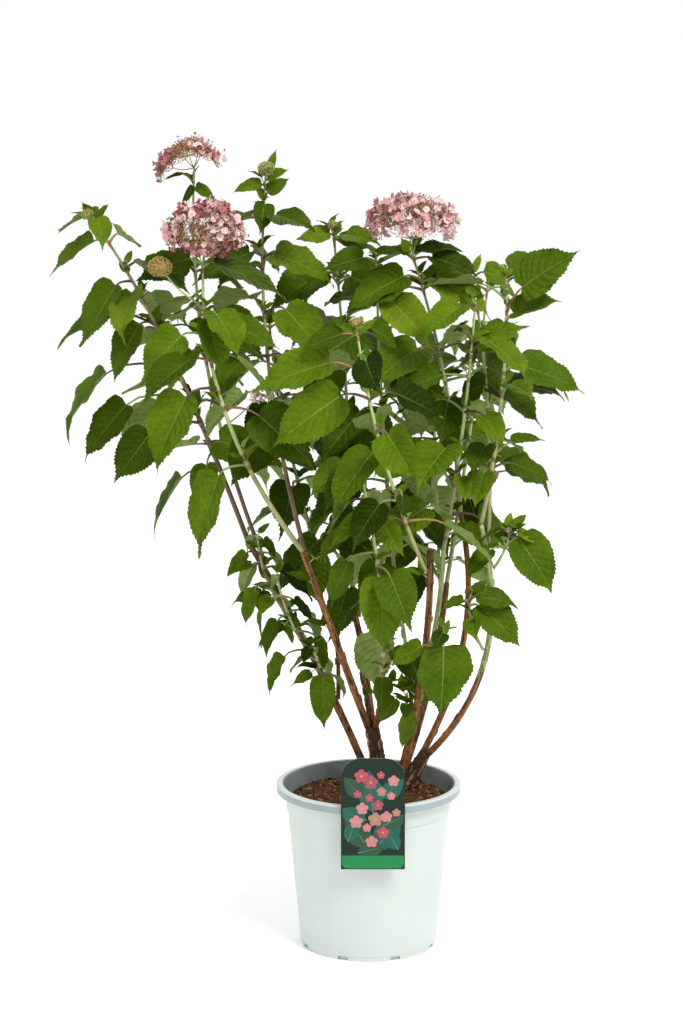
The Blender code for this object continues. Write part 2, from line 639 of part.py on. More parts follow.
def leaf_shape(leaf, swell=0.0):
    """Points and faces of a leaf: a three-sided petiole that opens into a thin blade."""
    across = leaf.normal.cross(leaf.along)
    petiole = (leaf.base - leaf.root).normalized()
    under = across.cross(petiole)
    if under.dot(leaf.normal) > 0:
        under = -under
    thick = PETIOLE_RADIUS + swell
    half = BLADE_THICKNESS * leaf.length / 2 + swell
    points = []
    for end in (leaf.root, leaf.base):
        points += [end - across * thick, end + across * thick, end + under * thick * PETIOLE_KEEL]
    for share in BLADE_STATIONS:
        points += [blade_point(leaf, share, -1, 0.0), blade_point(leaf, share, 0, half),
                   blade_point(leaf, share, 1, 0.0), blade_point(leaf, share, 0, -half)]
    points.append(blade_point(leaf, 1.0, 0, 0.0))
    faces = [(0, 1, 2), (0, 3, 4, 1), (1, 4, 5, 2), (2, 5, 3, 0)]
    faces += [(3, 7, 4), (3, 6, 7), (4, 7, 8), (3, 9, 6), (3, 5, 9), (5, 4, 9), (4, 8, 9)]
    for station in range(len(BLADE_STATIONS) - 1):
        at = 6 + 4 * station
        for number in range(4):
            beside = (number + 1) % 4
            faces.append((at + number, at + 4 + number, at + 4 + beside, at + beside))
    last = 6 + 4 * (len(BLADE_STATIONS) - 1)
    tip = last + 4
    faces += [(last + number, tip, last + (number + 1) % 4) for number in range(4)]
    return points, faces


def shape_mesh(name, points, faces):
    mesh = bpy.data.meshes.new(name)
    mesh.from_pydata([tuple(point) for point in points], [], faces)
    shape = bmesh.new()
    shape.from_mesh(mesh)
    bmesh.ops.recalc_face_normals(shape, faces=shape.faces)
    shape.to_mesh(mesh)
    shape.free()
    return mesh


# Room for leaves.

class Room:
    """What is filled already: one search tree for each solid, with its box and its owner."""

    def __init__(self):
        self.filled = []

    def fill(self, owner, points, faces):
        low = Vector([min(point[axis] for point in points) for axis in range(3)])
        high = Vector([max(point[axis] for point in points) for axis in range(3)])
        self.filled.append((owner, low, high, BVHTree.FromPolygons(points, faces)))

    def fill_object(self, owner, thing):
        bpy.context.view_layer.update()
        evaluated = thing.evaluated_get(bpy.context.evaluated_depsgraph_get())
        mesh = evaluated.to_mesh()
        points = [thing.matrix_world @ vertex.co for vertex in mesh.vertices]
        self.fill(owner, points, [tuple(face.vertices) for face in mesh.polygons])
        evaluated.to_mesh_clear()

    def is_free(self, points, faces, stem_owner):
        """Whether a shape touches nothing, apart from the stem that it grows on."""
        low = Vector([min(point[axis] for point in points) for axis in range(3)])
        high = Vector([max(point[axis] for point in points) for axis in range(3)])
        tree = None
        for owner, other_low, other_high, other in self.filled:
            if owner == stem_owner:
                continue
            if any(low[axis] > other_high[axis] or high[axis] < other_low[axis] for axis in range(3)):
                continue
            if tree is None:
                tree = BVHTree.FromPolygons(points, faces)
            if tree.overlap(other):
                return False
        return True


def shows_sky(leaf):
    """Whether a leaf keeps out of the openings that the front view shows."""
    for share in SIGHT_STATIONS:
        for side in (-1, 0, 1):
            place = blade_point(leaf, share, side, 0.0)
            scale = -EYE.y / (place.y - EYE.y)
            seen = EYE + (place - EYE) * scale
            if any(math.hypot(seen.x - x, seen.z - z) < radius for x, z, radius in WINDOWS):
                return False
    return True


def rise_for(pitch):
    return LEVEL_RISE + RISE_WITH_PITCH * pitch


def set_plans(shoot, stem):
    """The leaves that are set by hand on a shoot."""
    for height, azimuth, pitch, length, petiole, facing in SET_LEAVES.get(shoot.name, ()):
        yield Plan(stem.path.share_at(height), azimuth, pitch, 0.0, length, petiole, rise_for(pitch), facing)


def rule_plans(shoot):
    """The leaves that a shoot's rule asks for: crossed pairs, each leaf with its own draws."""
    draw = random.Random(shoot.seed)
    for pair in range(shoot.pairs):
        share = shoot.first + (LAST_PAIR - shoot.first) * pair / max(1, shoot.pairs - 1)
        full = (shoot.low + (shoot.high - shoot.low) * share) * (1.0 - TIP_SHRINK * share ** 8)
        for side in range(2):
            azimuth = shoot.turn + 90 * pair + 180 * side + draw.uniform(-AZIMUTH_SPREAD, AZIMUTH_SPREAD)
            pitch = -shoot.droop * (1.4 - 0.9 * share) + draw.uniform(-PITCH_SPREAD, PITCH_SPREAD)
            roll = draw.uniform(-ROLL_SPREAD, ROLL_SPREAD)
            length = full * (1.0 + draw.uniform(-SIZE_SPREAD, SIZE_SPREAD))
            petiole = length * (LOW_PETIOLE + (HIGH_PETIOLE - LOW_PETIOLE) * share)
            rise = rise_for(pitch) + draw.uniform(-PITCH_SPREAD, PITCH_SPREAD)
            yield Plan(share, azimuth, pitch, roll, length, petiole, rise, None)


def nudged(plan, more_azimuth, more_pitch, scale):
    return plan._replace(azimuth=plan.azimuth + more_azimuth, pitch=plan.pitch + more_pitch,
                         length=plan.length * scale, petiole=plan.petiole * scale)


def grow_leaves(shoot, stem, plans, room, keep_sky):
    """The leaves that find room, each moved a little where its place is taken."""
    leaves = []
    for plan in plans:
        for nudge in TRIES:
            leaf = place_leaf(stem, nudged(plan, *nudge))
            if keep_sky and not shows_sky(leaf):
                continue
            points, faces = leaf_shape(leaf, CLEARANCE)
            if room.is_free(points, faces, shoot.name + " stem"):
                room.fill(shoot.name, points, faces)
                leaves.append(leaf)
                break
    return leaves


def make_shoot(shoot, stem, leaves, collection):
    """A stem with its leaves, and its closed bud where it ends in one, fused into one mass."""
    others = new_collection(shoot.name + " leaves")
    for leaf in leaves:
        add_object("leaf", shape_mesh("leaf", *leaf_shape(leaf)), others, "foliage")
    if shoot.ending == "bud":
        mesh = bpy.data.meshes.new("bud")
        ball = bmesh.new()
        bmesh.ops.create_icosphere(ball, subdivisions=BUD_FACETS, radius=BUD_RADIUS)
        bmesh.ops.scale(ball, vec=(1.0, 1.0, BUD_FLATNESS), verts=ball.verts)
        middle = stem.path.end + stem.path.direction(1.0) * BUD_RADIUS * BUD_SEAT
        bmesh.ops.translate(ball, vec=middle, verts=ball.verts)
        ball.to_mesh(mesh)
        ball.free()
        add_object("bud", mesh, others, "foliage")
    line = tube(shoot.name, stem_points(stem, SHOOT_POINTS), SLIM_SIDES, "foliage", collection)
    body = add_object(shoot.name, as_mesh(line), collection, "foliage")
    body.name = shoot.name
    return fuse(body, others)


# Flower heads.

def head_point(head, across, away, height):
    """A point of a flower head, from its place in a unit ball."""
    wide = head.width / 2 - FLORET_THICKNESS
    high = (head.height - 2 * FLORET_THICKNESS) * (DOME_SHARE if height > 0 else 1.0 - DOME_SHARE)
    place = Vector((across * wide, away * wide, height * high))
    if head.rays:
        place.z += UMBRELLA_LEAN * place.x - UMBRELLA_ARCH * (across ** 2 + away ** 2)
    return Vector(head.centre) + place


def dome_places(head):
    """Places of florets, evenly spread over a dome down to its skirt, and the way each faces."""
    lowest = UMBRELLA_SKIRT if head.rays else DOME_SKIRT
    for number in range(head.florets):
        height = 1.0 - (1.0 - lowest) * (number + 0.5) / head.florets
        around = GOLDEN_ANGLE * number
        ring = math.sqrt(1.0 - height ** 2)
        place = head_point(head, ring * math.cos(around), ring * math.sin(around), height)
        middle = Vector(head.centre) - UP * (0.0 if head.rays == 0 else head.width / 2)
        facing = (place - middle).normalized()
        yield place - facing * FLORET_SINK, facing


def make_head(head, stem, collection):
    """A stalk on the shoot's tip, a core and the florets that stand out of it."""
    centre = Vector(head.centre)
    start = stem.path.end + stem.path.direction(1.0) * SEAT_GAP
    lead = start + stem.path.direction(1.0) * CANE_LEAD
    top = centre - UP * RAY_DROP if head.rays else centre
    points = [(start, SHOOT_TIP_RADIUS), (lead, SHOOT_TIP_RADIUS), (top, SHOOT_TIP_RADIUS)]
    line = tube(head.name, points, SLIM_SIDES, "blossom", collection)
    body = add_object(head.name, as_mesh(line), collection, "blossom")
    body.name = head.name
    others = new_collection(head.name + " florets")
    core = bpy.data.meshes.new("core")
    ball = bmesh.new()
    bmesh.ops.create_icosphere(ball, subdivisions=CORE_FACETS, radius=1.0)
    for vertex in ball.verts:
        vertex.co = head_point(head, *vertex.co)
    ball.to_mesh(core)
    ball.free()
    add_object("core", core, others, "blossom")
    for number in range(head.rays):
        angle = 2 * math.pi * number / head.rays
        rim = head_point(head, RAY_REACH * math.cos(angle), RAY_REACH * math.sin(angle), 0.0)
        line = [(top - UP * 2 * RAY_RADIUS, RAY_RADIUS), (rim, RAY_RADIUS)]
        ray = tube("ray", line, THREAD_SIDES, "blossom", others)
        add_object("ray", as_mesh(ray), others, "blossom")
    for place, facing in dome_places(head):
        mesh = bpy.data.meshes.new("floret")
        floret = bmesh.new()
        bmesh.ops.create_uvsphere(floret, u_segments=4, v_segments=2, radius=1.0)
        bmesh.ops.scale(floret, vec=(FLORET_RADIUS, FLORET_RADIUS, FLORET_THICKNESS), verts=floret.verts)
        bmesh.ops.rotate(floret, matrix=facing.to_track_quat("Z", "Y").to_matrix(), verts=floret.verts)
        bmesh.ops.translate(floret, vec=place, verts=floret.verts)
        floret.to_mesh(mesh)
        floret.free()
        add_object("floret", mesh, others, "blossom")
    return fuse(body, others)


def build():
    clear_scene()
    plant = new_collection("potted_smooth_hydrangea")
    cutters = new_collection("cutters")
    room = Room()
    for piece in (make_pot(plant, cutters), make_soil(plant), make_label(plant)):
        room.fill_object(piece.name, piece)
    stems = {}
    for limb in LIMBS:
        if limb.parent == "soil":
            stems[limb.name] = on_soil(limb)
        else:
            stems[limb.name] = on_parent(limb, stems[limb.parent], limb.radius, limb.tip_radius)
        points = stem_points(stems[limb.name], CANE_POINTS)
        if limb.parent == "soil":
            points = flare_foot(points)
        if limb.name.startswith("stump"):
            points = flat_top(points, limb.tip_radius)
        finish = "green_cane" if limb.name == "cane_green" else "bark"
        sides_level = ROUND_SIDES if limb.parent == "soil" else SLIM_SIDES
        room.fill_object(limb.name, tube(limb.name, points, sides_level, finish, plant))
    for shoot in SHOOTS:
        stem = on_parent(shoot, stems[shoot.limb], shoot.radius, SHOOT_TIP_RADIUS)
        stems[shoot.name] = stem
        guide = tube("guide", stem_points(stem, SHOOT_POINTS), SLIM_SIDES, "foliage", plant)
        room.fill_object(shoot.name + " stem", guide)
        bpy.data.objects.remove(guide)
    for head in HEADS:
        room.fill_object(head.name, make_head(head, stems[head.shoot], plant))
    leaves = {}
    for shoot in SHOOTS:
        plans = set_plans(shoot, stems[shoot.name])
        leaves[shoot.name] = grow_leaves(shoot, stems[shoot.name], plans, room, False)
    for shoot in SHOOTS:
        leaves[shoot.name] += grow_leaves(shoot, stems[shoot.name], rule_plans(shoot), room, True)
    for shoot in SHOOTS:
        make_shoot(shoot, stems[shoot.name], leaves[shoot.name], plant)


build()
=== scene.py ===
# %% [markdown]
# A potted smooth hydrangea, dressed for its portrait.
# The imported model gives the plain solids: a pot, canes, and one solid for each leafy shoot and
# flower head. This lesson grows the finer plant over them: toothed leaves with veins, petioles,
# flaking bark, four-petalled florets, crumbly potting mix and a moulded pot. All lengths are in
# metres. +X is to the viewer's right, +Y away from them and +Z up.

import json
import math
import random
from collections import namedtuple

import bmesh
import bpy
import numpy as np
from mathutils import Matrix, Vector, noise
from mathutils.kdtree import KDTree

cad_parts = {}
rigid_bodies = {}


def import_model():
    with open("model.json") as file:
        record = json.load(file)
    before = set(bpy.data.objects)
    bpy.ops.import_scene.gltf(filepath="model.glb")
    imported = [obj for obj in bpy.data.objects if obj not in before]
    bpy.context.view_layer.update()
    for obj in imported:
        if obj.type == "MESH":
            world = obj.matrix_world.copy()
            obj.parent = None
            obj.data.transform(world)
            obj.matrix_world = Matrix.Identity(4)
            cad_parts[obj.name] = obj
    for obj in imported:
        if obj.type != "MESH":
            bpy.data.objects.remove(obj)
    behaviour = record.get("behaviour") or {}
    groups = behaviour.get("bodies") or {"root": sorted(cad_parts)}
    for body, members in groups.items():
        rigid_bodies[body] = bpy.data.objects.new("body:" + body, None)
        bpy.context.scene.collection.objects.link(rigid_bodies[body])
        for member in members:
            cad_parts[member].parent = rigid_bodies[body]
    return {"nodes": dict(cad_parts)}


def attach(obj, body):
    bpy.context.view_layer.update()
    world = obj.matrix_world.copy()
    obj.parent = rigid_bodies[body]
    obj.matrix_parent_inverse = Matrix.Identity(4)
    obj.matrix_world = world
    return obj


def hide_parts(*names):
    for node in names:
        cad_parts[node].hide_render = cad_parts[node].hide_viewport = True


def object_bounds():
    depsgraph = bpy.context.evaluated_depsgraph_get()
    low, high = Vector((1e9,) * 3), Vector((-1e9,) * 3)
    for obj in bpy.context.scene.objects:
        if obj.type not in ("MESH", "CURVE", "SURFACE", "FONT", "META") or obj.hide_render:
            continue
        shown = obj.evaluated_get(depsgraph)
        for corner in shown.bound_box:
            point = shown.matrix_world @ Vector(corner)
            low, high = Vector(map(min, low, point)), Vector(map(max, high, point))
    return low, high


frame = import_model()
cad_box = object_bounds()
UP = Vector((0.0, 0.0, 1.0))
FRONT = Vector((0.0, -1.0, 0.0))
print("CAD box", cad_box)

# %% [markdown]
# The portrait was taken from about head height with a long lens, looking ten degrees down. The
# size of the pot's rim gives the distance. A long lens keeps the far leaves as large as the near.

# %% Camera
CAMERA_PLACE = (-0.0333, -3.2047, 1.0909)
CAMERA_TILT = 9.8
LENS = 94.92
lens = bpy.data.cameras.new("portrait_lens")
lens.lens = LENS
lens.sensor_width = 36.0
camera = bpy.data.objects.new("portrait_camera", lens)
camera.location = CAMERA_PLACE
camera.rotation_euler = (math.radians(90.0 - CAMERA_TILT), 0.0, 0.0)
bpy.context.scene.collection.objects.link(camera)
bpy.context.scene.camera = camera

# %% [markdown]
# Studio light for a product picture: a big soft box above and to the right, a weaker one to the
# left, a strip behind that lifts the leaf edges off the white, and a white surround. Large lamps
# give soft shadows, so the leaves inside the plant go dark without hard lines. The picture's
# colours are shown as they are, with no film curve, as on a catalogue's white page.

# %% Light and floor
bpy.context.scene.view_settings.view_transform = "Standard"
SOFT_BOXES = (
    ("key_box", (1.2, -1.9, 2.8), 0.9, 83.0),
    ("fill_box", (-2.2, -1.6, 1.3), 1.6, 7.0),
    ("rear_box", (0.4, 2.2, 2.2), 1.4, 14.0),
)
AIM = Vector((0.0, 0.0, 0.5))
for name, place, width, power in SOFT_BOXES:
    lamp = bpy.data.lights.new(name, "AREA")
    lamp.size = width
    lamp.energy = power
    box = bpy.data.objects.new(name, lamp)
    box.location = place
    box.rotation_euler = (AIM - Vector(place)).to_track_quat("-Z", "Y").to_euler()
    bpy.context.scene.collection.objects.link(box)
surround = bpy.data.worlds.new("white_surround")
surround.use_nodes = True
surround.node_tree.nodes["Background"].inputs["Color"].default_value = (1.0, 1.0, 1.0, 1.0)
surround.node_tree.nodes["Background"].inputs["Strength"].default_value = 1.0
bpy.context.scene.world = surround

# %% [markdown]
# A finish is a Principled material whose colour, roughness and relief change a little over the
# surface. Writing its maths as sums and products keeps each finish to a line or two: a Wire is
# one node's output, and adding or multiplying wires adds the Math nodes.


# %% Wires and finishes
class Wire:
    """A node's output. Sums and products of wires add the Math nodes that work them out."""

    def __init__(self, finish, socket):
        self.finish = finish
        self.socket = socket

    def maths(self, operation, first, second):
        return self.finish.node("ShaderNodeMath", {"operation": operation}, {0: first, 1: second})

    def __add__(self, other):
        return self.maths("ADD", self, other)

    def __sub__(self, other):
        return self.maths("SUBTRACT", self, other)

    def __rsub__(self, other):
        return self.maths("SUBTRACT", other, self)

    def __mul__(self, other):
        return self.maths("MULTIPLY", self, other)

    __radd__ = __add__
    __rmul__ = __mul__


class Finish:
    """A Principled material, with the nodes that vary it."""

    def __init__(self, name, constants):
        self.material = bpy.data.materials.new(name)
        self.material.use_nodes = True
        self.nodes = self.material.node_tree.nodes
        self.shader = self.nodes["Principled BSDF"]
        for socket, value in constants.items():
            self.shader.inputs[socket].default_value = value

    def feed(self, socket, value):
        if isinstance(value, Wire):
            self.material.node_tree.links.new(value.socket, socket)
        else:
            socket.default_value = value

    def node(self, kind, settings, values, output=0):
        made = self.nodes.new(kind)
        for name, value in settings.items():
            if name == "stops":
                for (place, shade), stop in zip(value, made.color_ramp.elements):
                    stop.position = place
                    stop.color = (shade, shade, shade, 1.0)
            else:
                setattr(made, name, value)
        for name, value in values.items():
            self.feed(made.inputs[name], value)
        return Wire(self, made.outputs[output])

    def place(self, stretch=(1.0, 1.0, 1.0)):
        spot = self.node("ShaderNodeTexCoord", {}, {}, "Object")
        return self.node("ShaderNodeMapping", {}, {"Vector": spot, "Scale": stretch})

    def clouds(self, size, detail=3.0, stretch=(1.0, 1.0, 1.0)):
        """Soft noise from 0 to 1 whose patches are about size metres wide."""
        return self.node("ShaderNodeTexNoise", {}, {"Vector": self.place(stretch), "Scale": 1.0 / size,
                                                    "Detail": detail})

    def steps(self, wire, low, high):
        """A ramp from 0 at low to 1 at high."""
        return self.node("ShaderNodeValToRGB", {"stops": ((low, 0.0), (high, 1.0))}, {"Fac": wire})

    def mix(self, share, low, high):
        return self.node("ShaderNodeMix", {"data_type": "RGBA"}, {0: share, 6: low, 7: high}, 2)

    def relief(self, wire, depth, strength=0.6):
        bump = self.node("ShaderNodeBump", {}, {"Height": wire, "Distance": depth, "Strength": strength})
        self.feed(self.shader.inputs["Normal"], bump)


palette = []
shades = {}


def enlist(name, finish):
    """Give a finish its number in the palette."""
    shades[name] = len(palette)
    palette.append(finish.material)


def mottled(name, dark, light, roughness, size, depth, constants=None):
    """A finish that drifts between two colours, with a little relief of the same pattern."""
    finish = Finish(name, constants or {})
    clouds = finish.clouds(size)
    share = finish.steps(clouds, 0.30, 0.70)
    finish.feed(finish.shader.inputs["Base Color"], finish.mix(share, (*dark, 1.0), (*light, 1.0)))
    finish.feed(finish.shader.inputs["Roughness"], roughness + 0.16 * (clouds - 0.5))
    finish.relief(clouds, depth)
    enlist(name, finish)
    return finish


floor_finish = mottled("studio_paper", (0.983, 0.983, 0.983), (0.990, 0.990, 0.990), 0.85, 0.30, 0.0001)
bpy.ops.mesh.primitive_plane_add(size=14.0, location=(0.0, 0.0, -0.0002))
floor = bpy.context.object
floor.name = "studio_floor"
floor.data.materials.append(floor_finish.material)

# %% [markdown]
# Leaves are dealt out in a few greens: yellow-green where they are young, bright greens more often
# where the lamps reach them (painted light), deep greens more often low down and behind where shade
# falls (painted shade), and pale grey-green underneath. Their veins are paler than the blade, and a
# vein is a strip of faces of its own, so its colour stays in place on the mesh.

# %% Leaf and stem colours
LEAF_GREENS = {
    "young": ((0.080, 0.130, 0.004), (0.130, 0.190, 0.009)),
    "bright": ((0.050, 0.094, 0.002), (0.090, 0.150, 0.005)),
    "fresh": ((0.035, 0.070, 0.001), (0.064, 0.112, 0.004)),
    "plain": ((0.024, 0.050, 0.001), (0.044, 0.080, 0.002)),
    "deep": ((0.012, 0.029, 0.001), (0.027, 0.052, 0.002)),
    "shade": ((0.007, 0.017, 0.001), (0.016, 0.033, 0.002)),
}
VEIN_PALE = (0.290, 0.350, 0.085)
LEAF_SHINE = {"Specular IOR Level": 0.03}


def lighter(colour, share):
    """A colour moved some way towards the pale green of a vein."""
    return tuple(a + (b - a) * share for a, b in zip(colour, VEIN_PALE))


def leaf_green(name, dark, light):
    """A blade's green: fine puckers between the veins, and broad drifts from leaf to leaf."""
    finish = Finish(name, LEAF_SHINE)
    fine = finish.clouds(0.004)
    share = finish.steps(0.45 * fine + 0.55 * finish.clouds(0.030), 0.36, 0.64)
    finish.feed(finish.shader.inputs["Base Color"], finish.mix(share, (*dark, 1.0), (*light, 1.0)))
    finish.feed(finish.shader.inputs["Roughness"], 0.44 + 0.16 * (fine - 0.5))
    finish.relief(fine, 0.0009)
    enlist(name, finish)


for tone, (dark, light) in LEAF_GREENS.items():
    leaf_green("blade_" + tone, dark, light)
    mottled("vein_" + tone, lighter(dark, 0.12), lighter(light, 0.16), 0.50, 0.004, 0.0001, LEAF_SHINE)
    mottled("midrib_" + tone, lighter(dark, 0.34), lighter(light, 0.40), 0.50, 0.004, 0.0001, LEAF_SHINE)
mottled("underside", (0.150, 0.215, 0.048), (0.220, 0.290, 0.078), 0.66, 0.008, 0.0002, LEAF_SHINE)
mottled("underside_vein", (0.260, 0.330, 0.110), (0.340, 0.400, 0.150), 0.62, 0.004, 0.0001, LEAF_SHINE)
mottled("petiole_red", (0.180, 0.078, 0.020), (0.280, 0.145, 0.040), 0.48, 0.006, 0.0001)
mottled("petiole_dark", (0.050, 0.030, 0.020), (0.095, 0.055, 0.030), 0.50, 0.006, 0.0001)
mottled("petiole_green", (0.130, 0.190, 0.042), (0.210, 0.260, 0.070), 0.48, 0.006, 0.0001)
mottled("shoot_green", (0.260, 0.350, 0.115), (0.370, 0.440, 0.170), 0.46, 0.012, 0.0001)
mottled("shoot_olive", (0.220, 0.225, 0.080), (0.330, 0.310, 0.120), 0.50, 0.012, 0.0001)
mottled("shoot_brown", (0.105, 0.060, 0.034), (0.190, 0.110, 0.055), 0.55, 0.010, 0.0001)
mottled("node_red", (0.165, 0.090, 0.032), (0.250, 0.150, 0.055), 0.52, 0.005, 0.0001)
print("finishes so far", len(palette))

# %% [markdown]
# Large parts of the plant are thousands of small faces, so points and faces are gathered in
# arrays and each kind becomes one object. Every face carries the palette number of its finish,
# and the object gets a slot for each finish that it uses.


# %% Gathering faces
class Piece:
    """Points and faces that are gathered for one object."""

    def __init__(self):
        self.points = []
        self.corners = []
        self.sizes = []
        self.shades = []
        self.count = 0

    def add(self, points, faces, shade):
        faces = np.asarray(faces)
        self.points.append(np.asarray(points).reshape(-1, 3))
        self.corners.append((faces + self.count).ravel())
        self.sizes.append(np.full(len(faces), faces.shape[1]))
        self.shades.append(np.broadcast_to(shade, (len(faces),)))
        self.count += len(self.points[-1])

    def add_tube(self, points, radii, sides, shade):
        """A round stem through points; radii is one number for each point, or one for each corner."""
        points = np.asarray(points, dtype=float)
        count = len(points)
        radii = np.asarray(radii, dtype=float)
        if radii.ndim == 1:
            radii = np.repeat(radii[:, None], sides, axis=1)
        ways = np.gradient(points, axis=0)
        ways /= np.linalg.norm(ways, axis=1)[:, None]
        side = np.cross(ways[0], (0.0, 1.0, 0.0) if abs(ways[0][1]) < 0.9 else (1.0, 0.0, 0.0))
        angles = np.arange(sides) * 2 * math.pi / sides
        rings = np.empty((count, sides, 3))
        for number in range(count):
            side = side - ways[number] * side.dot(ways[number])
            side /= np.linalg.norm(side)
            other = np.cross(ways[number], side)
            spokes = np.outer(np.cos(angles), side) + np.outer(np.sin(angles), other)
            rings[number] = points[number] + spokes * radii[number][:, None]
        ends = np.array([points[0], points[-1]])
        row = np.arange(sides)
        beside = (row + 1) % sides
        quads = [np.stack([row + sides * n, beside + sides * n, beside + sides * (n + 1),
                           row + sides * (n + 1)], axis=1) for n in range(count - 1)]
        first = self.count
        self.add(np.concatenate([rings.reshape(-1, 3), ends]), np.concatenate(quads), shade)
        caps = np.concatenate([
            np.stack([beside, row, np.full(sides, count * sides)], axis=1),
            np.stack([row, beside, np.full(sides, count * sides + 1)], axis=1)])
        caps[sides:, :2] += (count - 1) * sides
        self.corners.append((caps + first).ravel())
        self.sizes.append(np.full(len(caps), 3))
        end_shade = shade if np.ndim(shade) == 0 else shade[0]
        self.shades.append(np.full(len(caps), end_shade))

    def triangles(self):
        return int(sum((sizes - 2).sum() for sizes in self.sizes))

    def make(self, name, smooth=True):
        mesh = bpy.data.meshes.new(name)
        points = np.concatenate(self.points)
        corners = np.concatenate(self.corners)
        sizes = np.concatenate(self.sizes)
        used, slots = np.unique(np.concatenate(self.shades), return_inverse=True)
        mesh.vertices.add(len(points))
        mesh.vertices.foreach_set("co", points.ravel())
        mesh.loops.add(len(corners))
        mesh.loops.foreach_set("vertex_index", corners)
        mesh.polygons.add(len(sizes))
        mesh.polygons.foreach_set("loop_start", np.concatenate([[0], np.cumsum(sizes)[:-1]]))
        for number in used:
            mesh.materials.append(palette[number])
        mesh.polygons.foreach_set("material_index", slots)
        mesh.polygons.foreach_set("use_smooth", np.full(len(sizes), smooth))
        mesh.update(calc_edges=True)
        mesh.validate()
        made = bpy.data.objects.new(name, mesh)
        bpy.context.scene.collection.objects.link(made)
        print(name, self.triangles(), "triangles")
        return made


def settle(thing, slot, *nodes):
    """Fix a piece to the plant's one body, in place of the solids that it stands for."""
    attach(thing, "root")
    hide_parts(*nodes)


# %% [markdown]
# The plant grows by one rule. Canes rise from the mix, fork or stand on old stumps, and each ends
# where a leafy shoot carries on. A shoot bears crossed pairs of leaves; seeded draws turn, tilt and
# size each one. Leaves that stand out on this plant are listed one by one. The sizes and seeds here
# are those of the solids, so that every fine leaf comes out on its plain one.

# %% Sizes of canes, shoots and heads
SEAT_GAP = 0.0003
SOIL_TOP = 0.187
CANE_POINTS = 8
SHOOT_POINTS = 6
HALVINGS = 24
SHOOT_TIP_RADIUS = 0.0013
LAST_PAIR = 0.97
LOW_PETIOLE = 0.60
HIGH_PETIOLE = 0.36
LEVEL_RISE = 30.0
RISE_WITH_PITCH = 0.7
ROOT_DEPTH = 0.25
BLADE_WIDTH = 0.67
BLADE_DROOP = 0.14
BLADE_CUP = 0.05
WIDEST_AT = 0.38
BASE_ROUNDNESS = 0.55
TIP_TAPER = 0.90
FRONT_PULL = 0.75
REAR_PULL = 0.20
REAR_FROM = 0.05
OUTWARD_PULL = 0.30
TIP_SHRINK = 0.40
AZIMUTH_SPREAD = 18.0
PITCH_SPREAD = 14.0
SIZE_SPREAD = 0.12
ROLL_SPREAD = 14.0
TRIES = ((0, 0, 1.0), (20, 0, 1.0), (-20, 0, 1.0), (0, -18, 0.95), (0, 18, 0.9), (36, -8, 0.85),
         (-36, -8, 0.85))

# A cane stands on the soil or on a stump's flat top, or it forks from another cane's side.
# place is (x, y) on the soil, (dx, dy) on a stump's top, or the share of the way up the cane.
# bow is how far the middle of a stem stands off the straight line from its foot to its tip.
Limb = namedtuple("Limb", "name parent place tip bow radius tip_radius")
LIMBS = (
    Limb("stump_left", "soil", (0.012, 0.032), (0.004, 0.022, 0.266), (0.002, 0, 0), 0.0110, 0.0088),
    Limb("cane_left", "stump_left", (-0.0050, -0.0010), (-0.079, -0.050, 0.498), (0, -0.003, 0),
         0.0048, 0.0040),
    Limb("cane_centre", "stump_left", (0.0045, -0.0025), (0.016, -0.020, 0.332), (0.002, 0, 0),
         0.0040, 0.0036),
    Limb("stub_left", "stump_left", (0.0005, 0.0060), (-0.009, 0.030, 0.338), (0, 0.001, 0), 0.0032, 0.0028),
    Limb("cane_left_rear", "soil", (0.003, 0.056), (-0.150, 0.115, 0.480), (0.008, -0.008, 0),
         0.0052, 0.0038),
    Limb("cane_left_back", "cane_left_rear", 0.34, (-0.048, 0.125, 0.410), (0.004, 0.010, 0),
         0.0030, 0.0026),
    Limb("cane_mid", "soil", (0.033, 0.010), (0.072, -0.060, 0.502), (0.0115, -0.006, 0), 0.0052, 0.0040),
    Limb("cane_mid_thin", "cane_mid", 0.30, (0.034, 0.012, 0.430), (0.004, 0.004, 0), 0.0026, 0.0024),
    Limb("cane_green", "cane_mid", 0.42, (0.090, 0.002, 0.492), (0.006, 0.010, 0), 0.0034, 0.0030),
    Limb("stump_right", "soil", (0.050, 0.046), (0.071, 0.040, 0.228), (0, 0, 0), 0.0098, 0.0080),
    Limb("cane_right_inner", "stump_right", (-0.0030, 0.0040), (0.113, 0.070, 0.523),
         (0.028, -0.006, 0), 0.0043, 0.0034),
    Limb("cane_right", "stump_right", (0.0035, -0.0045), (0.133, -0.030, 0.527),
         (0.038, -0.018, -0.012), 0.0044, 0.0034),
    Limb("cane_back", "soil", (0.012, 0.076), (-0.020, 0.140, 0.400), (0.004, 0.004, 0), 0.0046, 0.0036),
    Limb("cane_back_right", "soil", (0.042, 0.070), (0.100, 0.150, 0.420), (0.008, 0.002, 0),
         0.0048, 0.0038),
)

